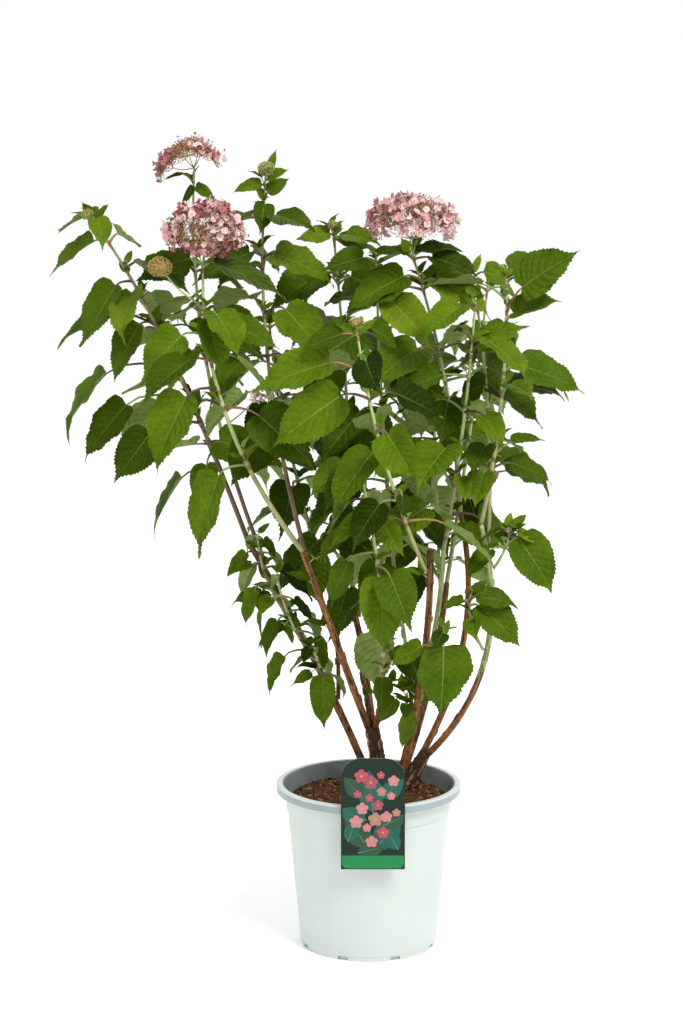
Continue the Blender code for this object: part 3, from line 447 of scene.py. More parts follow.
# A leafy shoot grows on from a cane's tip, or from its side, and is one mass of foliage.
# first is the share of its stem that is bare, pairs its pairs of leaves, low and high the length
# of a leaf on its lower and upper part, turn the compass angle of its lowest pair, and droop how
# far the leaves hang below level.
Shoot = namedtuple("Shoot", "name limb place tip bow radius first pairs low high turn droop seed ending")
SHOOTS = (
    Shoot("shoot_left_head", "cane_left", 1.0, (-0.195, -0.030, 0.846), (-0.034, -0.030, 0), 0.0032,
          0.35, 5, 0.085, 0.080, 40, 32, 1, "head"),
    Shoot("shoot_left_bud", "cane_left", 0.90, (-0.124, 0.058, 0.940), (-0.024, 0.045, 0), 0.0030,
          0.30, 7, 0.080, 0.074, 50, 28, 2, "bud"),
    Shoot("shoot_far_left", "cane_left_rear", 1.0, (-0.330, -0.020, 0.893), (-0.010, 0.026, 0.050), 0.0032,
          0.20, 8, 0.085, 0.075, 60, 35, 3, "bud"),
    Shoot("shoot_top_head", "cane_left_rear", 0.90, (-0.208, 0.020, 0.945), (-0.030, 0.034, 0), 0.0028,
          0.30, 7, 0.085, 0.070, 30, 28, 4, "head"),
    Shoot("sprig_left_low", "cane_left_rear", 0.66, (-0.136, 0.050, 0.500), (-0.010, -0.004, 0), 0.0020,
          0.14, 6, 0.054, 0.048, 30, 58, 5, "leaves"),
    Shoot("sprig_left_mid", "cane_left_rear", 0.52, (-0.112, 0.020, 0.455), (-0.006, -0.006, 0), 0.0018,
          0.14, 5, 0.056, 0.046, 60, 52, 20, "leaves"),
    Shoot("sprig_left_base", "cane_left_rear", 0.36, (-0.070, 0.030, 0.366), (0, -0.004, 0), 0.0018,
          0.45, 3, 0.046, 0.042, 60, 55, 6, "leaves"),
    Shoot("shoot_centre_low", "cane_centre", 1.0, (-0.014, -0.075, 0.610), (0.010, -0.012, 0), 0.0028,
          0.12, 7, 0.085, 0.080, 20, 42, 7, "leaves"),
    Shoot("shoot_mid_bud", "cane_mid", 0.92, (-0.016, -0.112, 0.772), (-0.0105, -0.024, 0), 0.0026,
          0.22, 7, 0.080, 0.080, 20, 38, 8, "bud"),
    Shoot("shoot_green", "cane_green", 1.0, (0.124, -0.045, 0.800), (0.004, -0.008, 0), 0.0028,
          0.14, 7, 0.070, 0.090, 40, 26, 9, "leaves"),
    Shoot("shoot_right_head", "cane_right_inner", 1.0, (0.049, 0.0, 0.851), (0.012, 0.018, 0), 0.0030,
          0.16, 8, 0.080, 0.092, 40, 24, 10, "head"),
    Shoot("shoot_right_top", "cane_right", 1.0, (0.161, -0.030, 0.826), (0.009, 0, 0), 0.0030,
          0.30, 4, 0.045, 0.060, 60, 15, 11, "leaves"),
    Shoot("shoot_right_mid", "cane_right", 0.93, (0.122, 0.030, 0.826), (0.010, 0.008, 0), 0.0026,
          0.25, 7, 0.050, 0.080, 40, 20, 12, "leaves"),
    Shoot("sprig_right_low", "cane_right", 0.84, (0.166, -0.045, 0.520), (0.004, 0.004, 0), 0.0018,
          0.60, 2, 0.045, 0.045, 60, 30, 13, "leaves"),
    Shoot("sprig_right_base", "cane_right", 0.52, (0.118, -0.048, 0.440), (-0.004, -0.004, 0), 0.0018,
          0.60, 2, 0.040, 0.040, 80, 30, 21, "leaves"),
    Shoot("sprig_front", "cane_mid", 0.56, (0.088, -0.074, 0.402), (0.004, -0.004, 0), 0.0018,
          0.60, 2, 0.040, 0.045, 150, 20, 22, "leaves"),
    Shoot("sprig_mid_low", "cane_mid", 0.26, (0.046, -0.016, 0.318), (0, -0.003, 0), 0.0016,
          0.70, 1, 0.030, 0.030, 90, 30, 23, "leaves"),
    Shoot("shoot_back_left", "cane_left_back", 1.0, (-0.125, 0.190, 0.750), (-0.010, 0.016, 0), 0.0026,
          0.12, 7, 0.085, 0.080, 60, 30, 14, "leaves"),
    Shoot("shoot_back_bud", "cane_back", 1.0, (-0.044, 0.110, 0.872), (0.006, 0.034, 0), 0.0028,
          0.12, 8, 0.085, 0.080, 40, 28, 15, "bud"),
    Shoot("shoot_back", "cane_back", 0.90, (0.006, 0.235, 0.720), (0, 0.016, 0), 0.0024,
          0.14, 7, 0.085, 0.080, 60, 32, 16, "leaves"),
    Shoot("shoot_back_right", "cane_back_right", 1.0, (0.150, 0.170, 0.800), (0.004, 0.016, 0), 0.0028,
          0.12, 7, 0.085, 0.080, 20, 26, 17, "leaves"),
    Shoot("shoot_back_out", "cane_back_right", 0.88, (0.085, 0.250, 0.650), (0, 0.012, 0), 0.0022,
          0.18, 5, 0.080, 0.075, 70, 35, 18, "leaves"),
    Shoot("shoot_back_mid", "cane_mid_thin", 1.0, (0.008, 0.020, 0.848), (-0.004, 0.016, 0), 0.0024,
          0.12, 9, 0.080, 0.092, 50, 26, 19, "leaves"),
)

# Leaves that stand out on the plant, by the shoot that bears them. Each is its height on the
# stem, compass angle, pitch, length, petiole length, and how far it turns its face to the front.
SET_LEAVES = {
    "shoot_far_left": (
        (0.862, 180, -31, 0.070, 0.016, 0.3), (0.812, 195, -55, 0.086, 0.020, 1.0),
        (0.756, 175, -22, 0.078, 0.058, 0.2), (0.760, 160, -50, 0.090, 0.022, 0.4),
        (0.700, 186, -46, 0.096, 0.086, 0.2), (0.662, 196, -45, 0.086, 0.080, 0.7),
        (0.632, 210, -50, 0.074, 0.070, 0.9), (0.571, 185, -54, 0.084, 0.048, 0.3),
        (0.684, 178, -8, 0.068, 0.010, -0.6), (0.606, 350, -12, 0.100, 0.014, 0.6)),
    "shoot_left_bud": (
        (0.925, 185, -10, 0.036, 0.005, 0.8), (0.912, 10, 35, 0.032, 0.006, 0.8),
        (0.903, 265, -50, 0.040, 0.005, 0.9), (0.893, 170, -25, 0.048, 0.008, 0.6),
        (0.840, 195, -20, 0.080, 0.016, 0.8), (0.838, 345, -18, 0.080, 0.016, 0.8)),
    "shoot_back_bud": (
        (0.862, 185, -5, 0.042, 0.005, 0.9), (0.855, 350, -10, 0.046, 0.006, 0.8),
        (0.812, 200, -25, 0.084, 0.018, 0.9), (0.806, 335, -20, 0.084, 0.018, 0.9)),
    "shoot_right_head": (
        (0.846, 185, 8, 0.046, 0.006, 0.8), (0.846, 350, 12, 0.054, 0.006, 0.9),
        (0.816, 200, -22, 0.082, 0.020, 0.8), (0.812, 330, -20, 0.084, 0.020, 0.9)),
    "shoot_left_head": (
        (0.757, 190, -42, 0.074, 0.030, 1.0), (0.696, 210, -58, 0.094, 0.042, 1.1),
        (0.606, 205, -66, 0.100, 0.038, 0.5), (0.775, 290, -50, 0.070, 0.020, 1.2),
        (0.765, 340, -22, 0.066, 0.030, 0.9), (0.836, 350, -17, 0.096, 0.012, 0.6)),
    "shoot_right_top": (
        (0.824, 30, 15, 0.062, 0.006, 1.2), (0.782, -14, 36, 0.084, 0.036, 0.6),
        (0.772, -30, 22, 0.062, 0.012, 0.9), (0.712, 0, -16, 0.084, 0.020, 0.8),
        (0.690, 10, -5, 0.070, 0.012, 0.3), (0.611, 0, 10, 0.040, 0.026, 0.5),
        (0.595, 0, -20, 0.056, 0.024, 0.6), (0.795, 170, 5, 0.070, 0.035, 0.3)),
    "sprig_right_low": ((0.515, 345, -53, 0.080, 0.012, 1.0),),
    "sprig_right_base": ((0.432, 345, -38, 0.072, 0.012, 0.9), (0.438, 10, -5, 0.050, 0.012, 0.3),
                         (0.437, 190, -15, 0.030, 0.006, 0.9)),
    "shoot_green": ((0.508, 340, -13, 0.062, 0.014, 0.6), (0.735, 335, 25, 0.062, 0.014, 0.9)),
    "shoot_mid_bud": (
        (0.567, 215, -45, 0.064, 0.026, 1.2), (0.627, 215, -42, 0.088, 0.014, 1.1),
        (0.690, 190, -33, 0.100, 0.034, 1.2), (0.718, 185, -15, 0.095, 0.042, 0.8)),
    "shoot_centre_low": (
        (0.500, 195, -65, 0.085, 0.034, 0.8), (0.480, 280, -75, 0.090, 0.020, 1.0),
        (0.540, 320, -40, 0.084, 0.030, 1.0), (0.376, 335, -45, 0.046, 0.012, 1.0),
        (0.345, 268, -76, 0.038, 0.010, 1.0)),
    "sprig_front": ((0.396, 272, -86, 0.086, 0.012, 1.2),),
    "sprig_mid_low": ((0.300, 265, -80, 0.044, 0.012, 1.0), (0.312, 200, -48, 0.036, 0.014, 0.8)),
    "sprig_left_base": ((0.334, 280, -80, 0.068, 0.014, 1.0), (0.360, 185, -60, 0.052, 0.036, 0.8)),
}

# A flower head: centre of its ball, width, height and number of rays.
Head = namedtuple("Head", "name shoot centre width height rays")
HEADS = (
    Head("flower_head_left", "shoot_left_head", (-0.192, -0.045, 0.876), 0.102, 0.070, 0),
    Head("flower_head_top", "shoot_top_head", (-0.215, 0.004, 0.984), 0.092, 0.016, 5),
    Head("flower_head_right", "shoot_right_head", (0.049, 0.0, 0.884), 0.120, 0.060, 0),
)
print(len(LIMBS), "canes,", len(SHOOTS), "shoots,", len(HEADS), "flower heads")

# %% [markdown]
# A stem bows a little between its foot and its tip, so three points make its curve. The solids
# run straight between a few points of it, and side shoots and leaves were set on those straights.


# %% Stems
class Path:
    """A bowed stem: its middle stands off the straight line from start to end by bow."""

    def __init__(self, start, end, bow):
        self.start = Vector(start)
        self.end = Vector(end)
        self.control = (self.start + self.end) / 2 + 2 * Vector(bow)

    def point(self, share):
        rest = 1.0 - share
        return self.start * rest ** 2 + self.control * 2 * share * rest + self.end * share ** 2

    def direction(self, share):
        rest = 1.0 - share
        return ((self.control - self.start) * rest + (self.end - self.control) * share).normalized()

    def share_at(self, height):
        low, high = 0.0, 1.0
        for _ in range(HALVINGS):
            middle = (low + high) / 2
            if self.point(middle).z < height:
                low = middle
            else:
                high = middle
        return low


Stem = namedtuple("Stem", "path lead radius tip_radius")


def on_straights(path, share, count):
    """A point of a stem that is straight between count points."""
    steps = count - 1
    number = min(int(share * steps), steps - 1)
    return path.point(number / steps).lerp(path.point((number + 1) / steps), share * steps - number)


def on_parent(part, parent, radius, tip_radius):
    """A stem that stands on its parent's tip, or leaves its parent's side."""
    ending = parent.path.direction(1.0)
    if isinstance(part.place, tuple):
        start = parent.path.end + Vector((*part.place, 0.0)) + UP * SEAT_GAP
        return Stem(Path(start, part.tip, part.bow), UP, radius, tip_radius)
    if part.place == 1.0:
        return Stem(Path(parent.path.end + ending * SEAT_GAP, part.tip, part.bow), ending, radius, tip_radius)
    axis_point = on_straights(parent.path, part.place, CANE_POINTS)
    axis = parent.path.direction(part.place)
    first = Path(axis_point, part.tip, part.bow).direction(0.0)
    outward = (first - axis * first.dot(axis)).normalized()
    thickness = parent.radius + (parent.tip_radius - parent.radius) * part.place
    lean = math.sqrt(max(0.0, 1.0 - first.dot(outward) ** 2))
    path = Path(axis_point + outward * (thickness + radius * lean + SEAT_GAP), part.tip, part.bow)
    return Stem(path, path.direction(0.0), radius, tip_radius)


stems = {}
for limb in LIMBS:
    if limb.parent == "soil":
        foot = Vector((*limb.place, SOIL_TOP + SEAT_GAP))
        stems[limb.name] = Stem(Path(foot, limb.tip, limb.bow), UP, limb.radius, limb.tip_radius)
    else:
        stems[limb.name] = on_parent(limb, stems[limb.parent], limb.radius, limb.tip_radius)
for shoot in SHOOTS:
    stems[shoot.name] = on_parent(shoot, stems[shoot.limb], shoot.radius, SHOOT_TIP_RADIUS)
print(len(stems), "stems; the highest shoot ends at", max(stem.path.end.z for stem in stems.values()))

# %% [markdown]
# Each leaf was tried in a few places and kept where it found room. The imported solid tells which
# place that was: the tip and the two widest points of the plain leaf are corners of it. So no
# leaf here stands anywhere but where its solid does.

# %% Which leaves there are
Plan = namedtuple("Plan", "share azimuth pitch roll length petiole rise facing")
Leaf = namedtuple("Leaf", "share root base along normal length place")


def plain_half_width(share, length):
    rise = (share / WIDEST_AT) ** BASE_ROUNDNESS
    fall = ((1.0 - share) / (1.0 - WIDEST_AT)) ** TIP_TAPER
    return 0.5 * BLADE_WIDTH * length * rise * fall


def rise_for(pitch):
    return LEVEL_RISE + RISE_WITH_PITCH * pitch


def place_leaf(stem, plan, place):
    """A leaf whose petiole leaves the stem and whose blade hangs from the petiole's end."""
    turn = math.radians(plan.azimuth)
    outward = Vector((math.cos(turn), math.sin(turn), 0.0))
    rise = math.radians(plan.rise)
    thickness = stem.radius + (stem.tip_radius - stem.radius) * plan.share
    seat = on_straights(stem.path, plan.share, SHOOT_POINTS) + outward * thickness * ROOT_DEPTH
    base = seat + (outward * math.cos(rise) + UP * math.sin(rise)) * plan.petiole
    tilt = math.radians(plan.pitch)
    along = outward * math.cos(tilt) + UP * math.sin(tilt)
    pull = plan.facing
    if pull is None:
        pull = FRONT_PULL if base.y < REAR_FROM else REAR_PULL
    light = UP + FRONT * pull + outward * OUTWARD_PULL
    normal = (light - along * light.dot(along)).normalized()
    normal = Matrix.Rotation(math.radians(plan.roll), 3, along) @ normal
    return Leaf(plan.share, stem.path.point(plan.share), base, along, normal, plan.length, place)


def plain_point(leaf, share, side):
    """A point of the plain leaf's blade; side is -1, 0 or 1."""
    across = leaf.normal.cross(leaf.along)
    reach = plain_half_width(share, leaf.length) if 0.0 < share < 1.0 else 0.0
    height = leaf.length * (BLADE_CUP * abs(side) * (1.0 - share) - BLADE_DROOP * share ** 2)
    return leaf.base + leaf.along * leaf.length * share + across * side * reach + leaf.normal * height


def set_plans(shoot):
    for height, azimuth, pitch, length, petiole, facing in SET_LEAVES.get(shoot.name, ()):
        share = stems[shoot.name].path.share_at(height)
        yield Plan(share, azimuth, pitch, 0.0, length, petiole, rise_for(pitch), facing)


def rule_plans(shoot):
    draw = random.Random(shoot.seed)
    for pair in range(shoot.pairs):
        share = shoot.first + (LAST_PAIR - shoot.first) * pair / max(1, shoot.pairs - 1)
        full = (shoot.low + (shoot.high - shoot.low) * share) * (1.0 - TIP_SHRINK * share ** 8)
        for side in range(2):
            azimuth = shoot.turn + 90 * pair + 180 * side + draw.uniform(-AZIMUTH_SPREAD, AZIMUTH_SPREAD)
            pitch = -shoot.droop * (1.4 - 0.9 * share) + draw.uniform(-PITCH_SPREAD, PITCH_SPREAD)
            roll = draw.uniform(-ROLL_SPREAD, ROLL_SPREAD)
            length = full * (1.0 + draw.uniform(-SIZE_SPREAD, SIZE_SPREAD))
            petiole = length * (LOW_PETIOLE + (HIGH_PETIOLE - LOW_PETIOLE) * share)
            rise = rise_for(pitch) + draw.uniform(-PITCH_SPREAD, PITCH_SPREAD)
            yield Plan(share, azimuth, pitch, roll, length, petiole, rise, None)


def corners_of(node):
    """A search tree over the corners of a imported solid."""
    tree = KDTree(len(node.data.vertices))
    for number, vertex in enumerate(node.data.vertices):
        tree.insert(node.matrix_world @ vertex.co, number)
    tree.balance()
    return tree


def stands(leaf, tree):
    marks = (plain_point(leaf, 1.0, 0), plain_point(leaf, 0.52, 1), plain_point(leaf, 0.52, -1))
    return all(tree.find(mark)[2] < SEAT_GAP for mark in marks)


leaves = {}
for shoot in SHOOTS:
    tree = corners_of(frame["nodes"][shoot.name])
    leaves[shoot.name] = []
    for number, plan in enumerate([*set_plans(shoot), *rule_plans(shoot)]):
        for more_azimuth, more_pitch, scale in TRIES:
            moved = plan._replace(azimuth=plan.azimuth + more_azimuth, pitch=plan.pitch + more_pitch,
                                  length=plan.length * scale, petiole=plan.petiole * scale)
            leaf = place_leaf(stems[shoot.name], moved, number)
            if stands(leaf, tree):
                leaves[shoot.name].append(leaf)
                break
print({name: len(group) for name, group in leaves.items()})
print("leaves in all", sum(len(group) for group in leaves.values()))

# %% [markdown]
# A smooth hydrangea's leaf is a broad egg shape with a slightly heart-shaped base, a drawn-out
# tip and forward-pointing teeth. Eight pairs of side veins curve forward from the midrib to a
# tooth, and the blade bulges between them. The grid below follows the veins: each row runs along
# one of them, or between two, so veins, bulges and teeth all fall on grid lines.

# %% Leaf pattern
BLADE_HALF_WIDTH = 0.330
BROADEST_AT = 0.36
VEIN_HALF = 0.0042
MIDRIB_HALF = 0.0085
NOTCH = 0.16
TOOTH = 0.017
QUILTING = 0.028
TIP_PINCH = 0.60
FIRST_ROW, LAST_ROW = 0.002, 0.997


def fine_half_width(share):
    rise = (share / BROADEST_AT) ** 0.5
    pinch = np.clip((share - 0.68) / 0.24, 0.0, 1.0)
    pinch = 1.0 - TIP_PINCH * pinch ** 2 * (3.0 - 2.0 * pinch)
    return BLADE_HALF_WIDTH * rise * pinch * ((1.0 - share) / (1.0 - BROADEST_AT)) ** 1.10


def leaf_pattern(intervals, lines, columns, draw):
    """A leaf's grid for a length of one: along, across, lift, share of the way out, faces, parts.

    A part is 0 on the blade, 1 on a side vein and 2 on the midrib.
    """
    rows = []
    for interval in range(intervals):
        first = interval == 0
        last = interval == intervals - 1
        rows.append((interval, 0 if first else 1, 0.0, 0 if first else 1))
        for number, line in enumerate(lines):
            rows.append((interval + line, 0, line, 1 if number % 2 else -1))
        rows.append((interval + 1, 0 if last else -1, 1.0, 0 if last else 1))
    base, edge, between, tooth = (np.array(column, dtype=float)[:, None] for column in zip(*rows))
    out = np.array([-column for column in reversed(columns)] + list(columns))[None, :]
    side = np.sign(np.arange(out.size) - out.size / 2 + 0.5)[None, :]
    spread = np.abs(out)
    step = np.clip(base / intervals, FIRST_ROW, LAST_ROW) + edge * VEIN_HALF * (1.0 - 0.6 * spread)
    start, end = step ** 1.6, step ** 0.75
    width = fine_half_width(end)
    rear = NOTCH * width / BLADE_HALF_WIDTH * (1.0 - end) ** 4
    rib = np.minimum(MIDRIB_HALF * (1.0 - 0.75 * step), 0.5 * width)
    along = start + (end - rear - start) * spread ** 1.3
    across = side * (rib + (width - rib) * spread)
    size = np.array([[draw.uniform(0.6, 1.3) for _ in range(2)] for _ in rows])
    size = np.where(side < 0, size[:, :1], size[:, 1:])
    biting = np.clip((step - 0.03) / 0.08, 0, 1) * np.clip((0.95 - step) / 0.06, 0, 1) * (spread == 1.0)
    along = along + np.where(tooth > 0, 0.8, -0.1) * np.abs(tooth) * TOOTH * size * biting
    across = across + side * np.where(tooth > 0, 0.35, -0.55) * np.abs(tooth) * TOOTH * size * biting
    bulge = np.sin(math.pi * between) ** 0.8 * np.sin(math.pi * np.clip(spread, 0.0, 0.95)) ** 0.7
    puff = np.array([draw.uniform(0.35, 1.10) for _ in range(intervals + 1)])[base.astype(int)]
    lift = QUILTING * puff * bulge * np.clip((1.0 - step) / 0.25, 0.0, 1.0)
    count, wide = along.shape
    row, column = np.meshgrid(np.arange(count - 1), np.arange(wide - 1), indexing="ij")
    corner = row * wide + column
    first = np.stack([corner, corner + wide, corner + wide + 1], axis=-1).reshape(-1, 3)
    second = np.stack([corner, corner + wide + 1, corner + 1], axis=-1).reshape(-1, 3)
    faces = np.concatenate([first, second])
    outermost = (column == 0) | (column == wide - 2)
    part = 1 * (np.isin(row, [n for n in range(count - 1) if edge[n] < 0]) & ~outermost)
    part[column == wide // 2 - 1] = 2
    return along, across, lift, np.broadcast_to(spread, along.shape), faces, np.tile(part.ravel(), 2)


pattern_draw = random.Random(40)
LARGE = [leaf_pattern(9, (0.27, 0.50, 0.73), (0.0, 0.30, 0.62, 0.88, 1.0), pattern_draw) for _ in range(6)]
SMALL = [leaf_pattern(4, (0.5,), (0.0, 0.55, 1.0), pattern_draw) for _ in range(3)]
print("faces of a large and a small leaf's upper side", len(LARGE[0][4]), len(SMALL[0][4]))

# %% [markdown]
# No two leaves lie alike: each folds a little along its midrib, waves at its margin, droops and
# curls its tip by its own draws. The upper and lower sides are two sheets a third of a millimetre
# apart that meet at the margin, so that the underside can be pale.

# %% Laying a leaf
LEAF_THICKNESS = 0.00034
MIDRIB_TURN = 15.0


def add_leaf(piece, patterns, leaf, tone, draw, narrow=1.0):
    """Bend a pattern to one leaf, turn it a little about its midrib and add both of its sides."""
    along, across, lift, spread, faces, part = draw.choice(patterns)
    turns = draw.uniform(1.5, 2.8) * along + draw.random() + 0.3 * np.sign(across)
    wave = draw.uniform(0.010, 0.034) * np.sin(2 * math.pi * turns)
    crinkle = draw.uniform(0.004, 0.012) * np.sin(2 * math.pi * (2.7 * turns + draw.random()))
    fold = np.where(across < 0, draw.uniform(0.0, 0.30), draw.uniform(0.0, 0.30))
    height = lift + wave * spread ** 2 + crinkle * spread ** 3 + fold * np.abs(across)
    height = height + BLADE_CUP * spread * (1.0 - along) - BLADE_DROOP * along ** 2
    height = height - draw.uniform(-0.3, 1.9) * np.clip(along - 0.70, 0.0, None) ** 2
    sway = draw.uniform(-0.05, 0.05) * along ** 2
    sway = sway + draw.uniform(-0.9, 0.9) * np.clip(along - 0.8, 0.0, None) ** 2
    turned = Matrix.Rotation(math.radians(draw.gauss(0.0, MIDRIB_TURN)), 3, leaf.along) @ leaf.normal
    way, normal = np.array(leaf.along), np.array(turned)
    aside = np.cross(normal, way)
    flat = along[..., None] * way + (narrow * across + sway)[..., None] * aside
    upper = np.array(leaf.base) + leaf.length * (flat + height[..., None] * normal)
    gap = LEAF_THICKNESS * (1.0 - spread ** 4)
    ribs = 0.0006 * np.clip(1.0 - 3.0 * spread, 0.0, 1.0) * (1.0 - along)
    lower = upper - (gap + ribs)[..., None] * normal
    upper_shades = np.array([shades[kind + tone] for kind in ("blade_", "vein_", "midrib_")])
    lower_shades = np.array([shades[kind] for kind in ("underside", "underside_vein", "underside_vein")])
    piece.add(upper, faces, upper_shades[part])
    piece.add(lower, faces[:, ::-1], lower_shades[part])


# %% [markdown]
# The young leaves at the tips are bright. Leaves out at the plant's two sides, where the lamps reach,
# get bright greens more often: painted light. The ones low down or behind, where shade falls inside
# the plant, get deep and shade greens more often: painted shade. A few leaves that catch the eye
# have their tone set one by one.

# %% Tones
# Leaves left of the first x or right of the second stand where the lamps reach and get bright greens more often:
# painted light.
PAINTED_LIGHT_LEFT_OF, PAINTED_LIGHT_RIGHT_OF = -0.12, 0.09
TONE_WEIGHTS = {"young": 0.04, "bright": 0.18, "fresh": 0.33, "plain": 0.28, "deep": 0.12, "shade": 0.05}
SET_TONES = {
    ("shoot_far_left", 1): "fresh", ("shoot_far_left", 9): "bright",
    ("shoot_left_head", 0): "bright", ("shoot_left_head", 1): "bright", ("shoot_left_head", 2): "bright",
    ("shoot_left_head", 3): "bright", ("shoot_left_head", 4): "fresh", ("shoot_left_head", 5): "plain",
    ("shoot_left_head", 10): "plain", ("shoot_left_head", 12): "bright",
    ("shoot_right_top", 0): "fresh", ("shoot_right_top", 1): "fresh", ("shoot_right_top", 2): "fresh",
    ("shoot_right_top", 3): "fresh", ("shoot_right_top", 4): "plain", ("shoot_right_top", 6): "plain",
    ("sprig_left_base", 0): "bright", ("sprig_front", 0): "fresh", ("sprig_right_base", 0): "fresh",
    ("shoot_mid_bud", 2): "bright", ("shoot_mid_bud", 3): "bright",
}


def tone_of(name, leaf, draw):
    if (name, leaf.place) in SET_TONES:
        return SET_TONES[name, leaf.place]
    weights = dict(TONE_WEIGHTS)
    if leaf.share > 0.85:
        weights["young"] *= 4.0
        weights["bright"] *= 2.0
    # Leaves behind or low down, where shade falls inside the plant, get deep and shade greens more often: painted
    # shade.
    if leaf.base.y > 0.08 or leaf.base.z < 0.55:
        weights["deep"] *= 1.8
        weights["shade"] *= 2.0
    # Leaves out at the plant's two sides, where the lamps reach, get bright greens more often and dark ones less:
    # painted light.
    if not PAINTED_LIGHT_LEFT_OF < leaf.base.x < PAINTED_LIGHT_RIGHT_OF:
        weights["bright"] *= 1.8
        weights["deep"] *= 0.4
        weights["shade"] *= 0.2
    return draw.choices(list(weights), list(weights.values()))[0]


# %% [markdown]
# A petiole is a thin stalk, channelled and often red, that curves out of the stem and lines up
# with the midrib. The stem swells at every pair of leaves, and its lower part turns from green to
# brown. In the angle of many petioles sits a tiny side shoot with a pair of narrow young leaves.

# %% Petioles, stems and side shoots
STEM_COLOURS = {
    "shoot_far_left": ("shoot_olive", "shoot_brown"),
    "shoot_left_bud": ("shoot_olive", "shoot_brown"),
    "shoot_top_head": ("shoot_green", "shoot_brown"),
    "shoot_left_head": ("shoot_green", "shoot_olive"),
}
PETIOLE_TONES = ("petiole_red", "petiole_green", "petiole_green", "petiole_green", "petiole_dark")
DARK_PETIOLES = ("shoot_far_left", "shoot_left_bud")
PETIOLE_THICK = 0.0012
NODE_SWELL = 0.45
NODE_REACH = 0.0045


def add_petiole(piece, leaf, tone):
    reach = (leaf.base - leaf.root).length
    bend = leaf.base - leaf.along * reach * 0.35
    points = []
    radii = []
    for share in (0.0, 0.15, 0.4, 0.7, 1.0):
        rest = 1.0 - share
        points.append(leaf.root * rest ** 2 + bend * 2 * rest * share + leaf.base * share ** 2)
        radii.append(PETIOLE_THICK * (1.5 - 0.7 * share + 0.4 * (share == 0.0)))
    points.append(leaf.base + leaf.along * leaf.length * 0.03 - leaf.normal * 0.0006)
    radii.append(PETIOLE_THICK * 0.5)
    piece.add_tube(points, radii, 6, shades[tone])


def add_stem(piece, name, stem, nodes, sides=8, count=56):
    """A green stem with a swelling at each pair of leaves."""
    young, old = STEM_COLOURS.get(name, ("shoot_green", "shoot_olive"))
    points = [stem.path.start]
    radii = [stem.radius]
    tones = []
    length = (stem.path.end - stem.path.start).length
    for number in range(1, count):
        share = number / (count - 1)
        near = min([abs(share - node) * length for node in nodes] + [1.0])
        swell = 1.0 + NODE_SWELL * max(0.0, 1.0 - near / NODE_REACH)
        points.append(stem.path.point(share))
        radii.append((stem.radius + (stem.tip_radius - stem.radius) * share) * swell)
        tone = "node_red" if near < NODE_REACH * 0.6 else old if share < 0.35 else young
        tones += [shades[tone]] * sides
    piece.add_tube(points, radii, sides, np.array(tones))


def add_young_pair(leaf_piece, stem_piece, foot, way, reach, low, high, draw):
    """A tiny shoot that ends in a pair of narrow young leaves."""
    tip = foot + way * reach
    stem_piece.add_tube([foot, tip], [0.0009, 0.0006], 5, shades["shoot_green"])
    spin = draw.uniform(0.0, math.pi)
    for side in range(2):
        turned = Vector((math.cos(spin + math.pi * side), math.sin(spin + math.pi * side), 0.0))
        along = (turned * 0.8 + way * draw.uniform(0.5, 1.2)).normalized()
        light = UP + FRONT * 0.5
        normal = (light - along * light.dot(along)).normalized()
        young = Leaf(1.0, tip, tip, along, normal, draw.uniform(low, high), -1)
        add_leaf(leaf_piece, SMALL, young, draw.choice(("young", "bright", "fresh")), draw, 0.7)


def add_side_shoot(leaf_piece, stem_piece, leaf, draw):
    """A tiny shoot in the angle of a petiole."""
    outward = (leaf.base - leaf.root).normalized()
    way = (outward * 0.55 + UP).normalized()
    add_young_pair(leaf_piece, stem_piece, leaf.root, way, draw.uniform(0.004, 0.012), 0.012, 0.026, draw)


# %% [markdown]
# Some leaves are smaller or narrower than their plain ones, and a few narrow young leaves were
# too thin for the solids. These are listed here: the stem, the height on it, compass angle,
# pitch, length, width against a grown leaf's, and tone.

# %% Leaves set apart
TRIMS = {("shoot_top_head", 12): (0.50, 0.45), ("shoot_top_head", 11): (0.45, 0.60),
         ("shoot_top_head", 10): (0.55, 0.60), ("shoot_centre_low", 0): (0.70, 0.80),
         ("shoot_centre_low", 2): (0.60, 0.90), ("shoot_centre_low", 9): (0.42, 0.80),
         ("shoot_centre_low", 14): (0.50, 0.90), ("shoot_mid_bud", 5): (0.70, 0.90),
         ("shoot_mid_bud", 7): (0.35, 0.90), ("shoot_mid_bud", 8): (0.60, 0.90),
         ("shoot_green", 5): (0.50, 0.90), ("shoot_green", 8): (0.60, 0.90),
         ("sprig_front", 0): (1.00, 1.30)}
SLENDER = {"sprig_left_low": 0.62, "sprig_left_mid": 0.60, "sprig_left_base": 0.78}
YOUNG_LEAVES = (
    ("shoot_top_head", 0.927, 340, -28, 0.030, 0.75, "fresh"),
    ("shoot_top_head", 0.929, 200, -62, 0.030, 0.45, "plain"),
    ("shoot_left_bud", 0.936, 20, 66, 0.034, 0.50, "bright"),
    ("shoot_left_bud", 0.934, 330, 20, 0.030, 0.80, "bright"),
    ("shoot_far_left", 0.888, 150, 55, 0.026, 0.45, "plain"),
    ("shoot_far_left", 0.886, 20, 50, 0.028, 0.45, "fresh"),
    ("shoot_right_head", 0.848, 215, 50, 0.022, 0.95, "young"),
    ("shoot_right_top", 0.822, 200, 35, 0.030, 0.60, "bright"),
    ("shoot_right_mid", 0.822, 30, 60, 0.026, 0.55, "young"),
    ("shoot_mid_bud", 0.766, 200, 25, 0.030, 0.50, "bright"),
    ("shoot_mid_bud", 0.764, 350, 40, 0.028, 0.50, "young"),
)
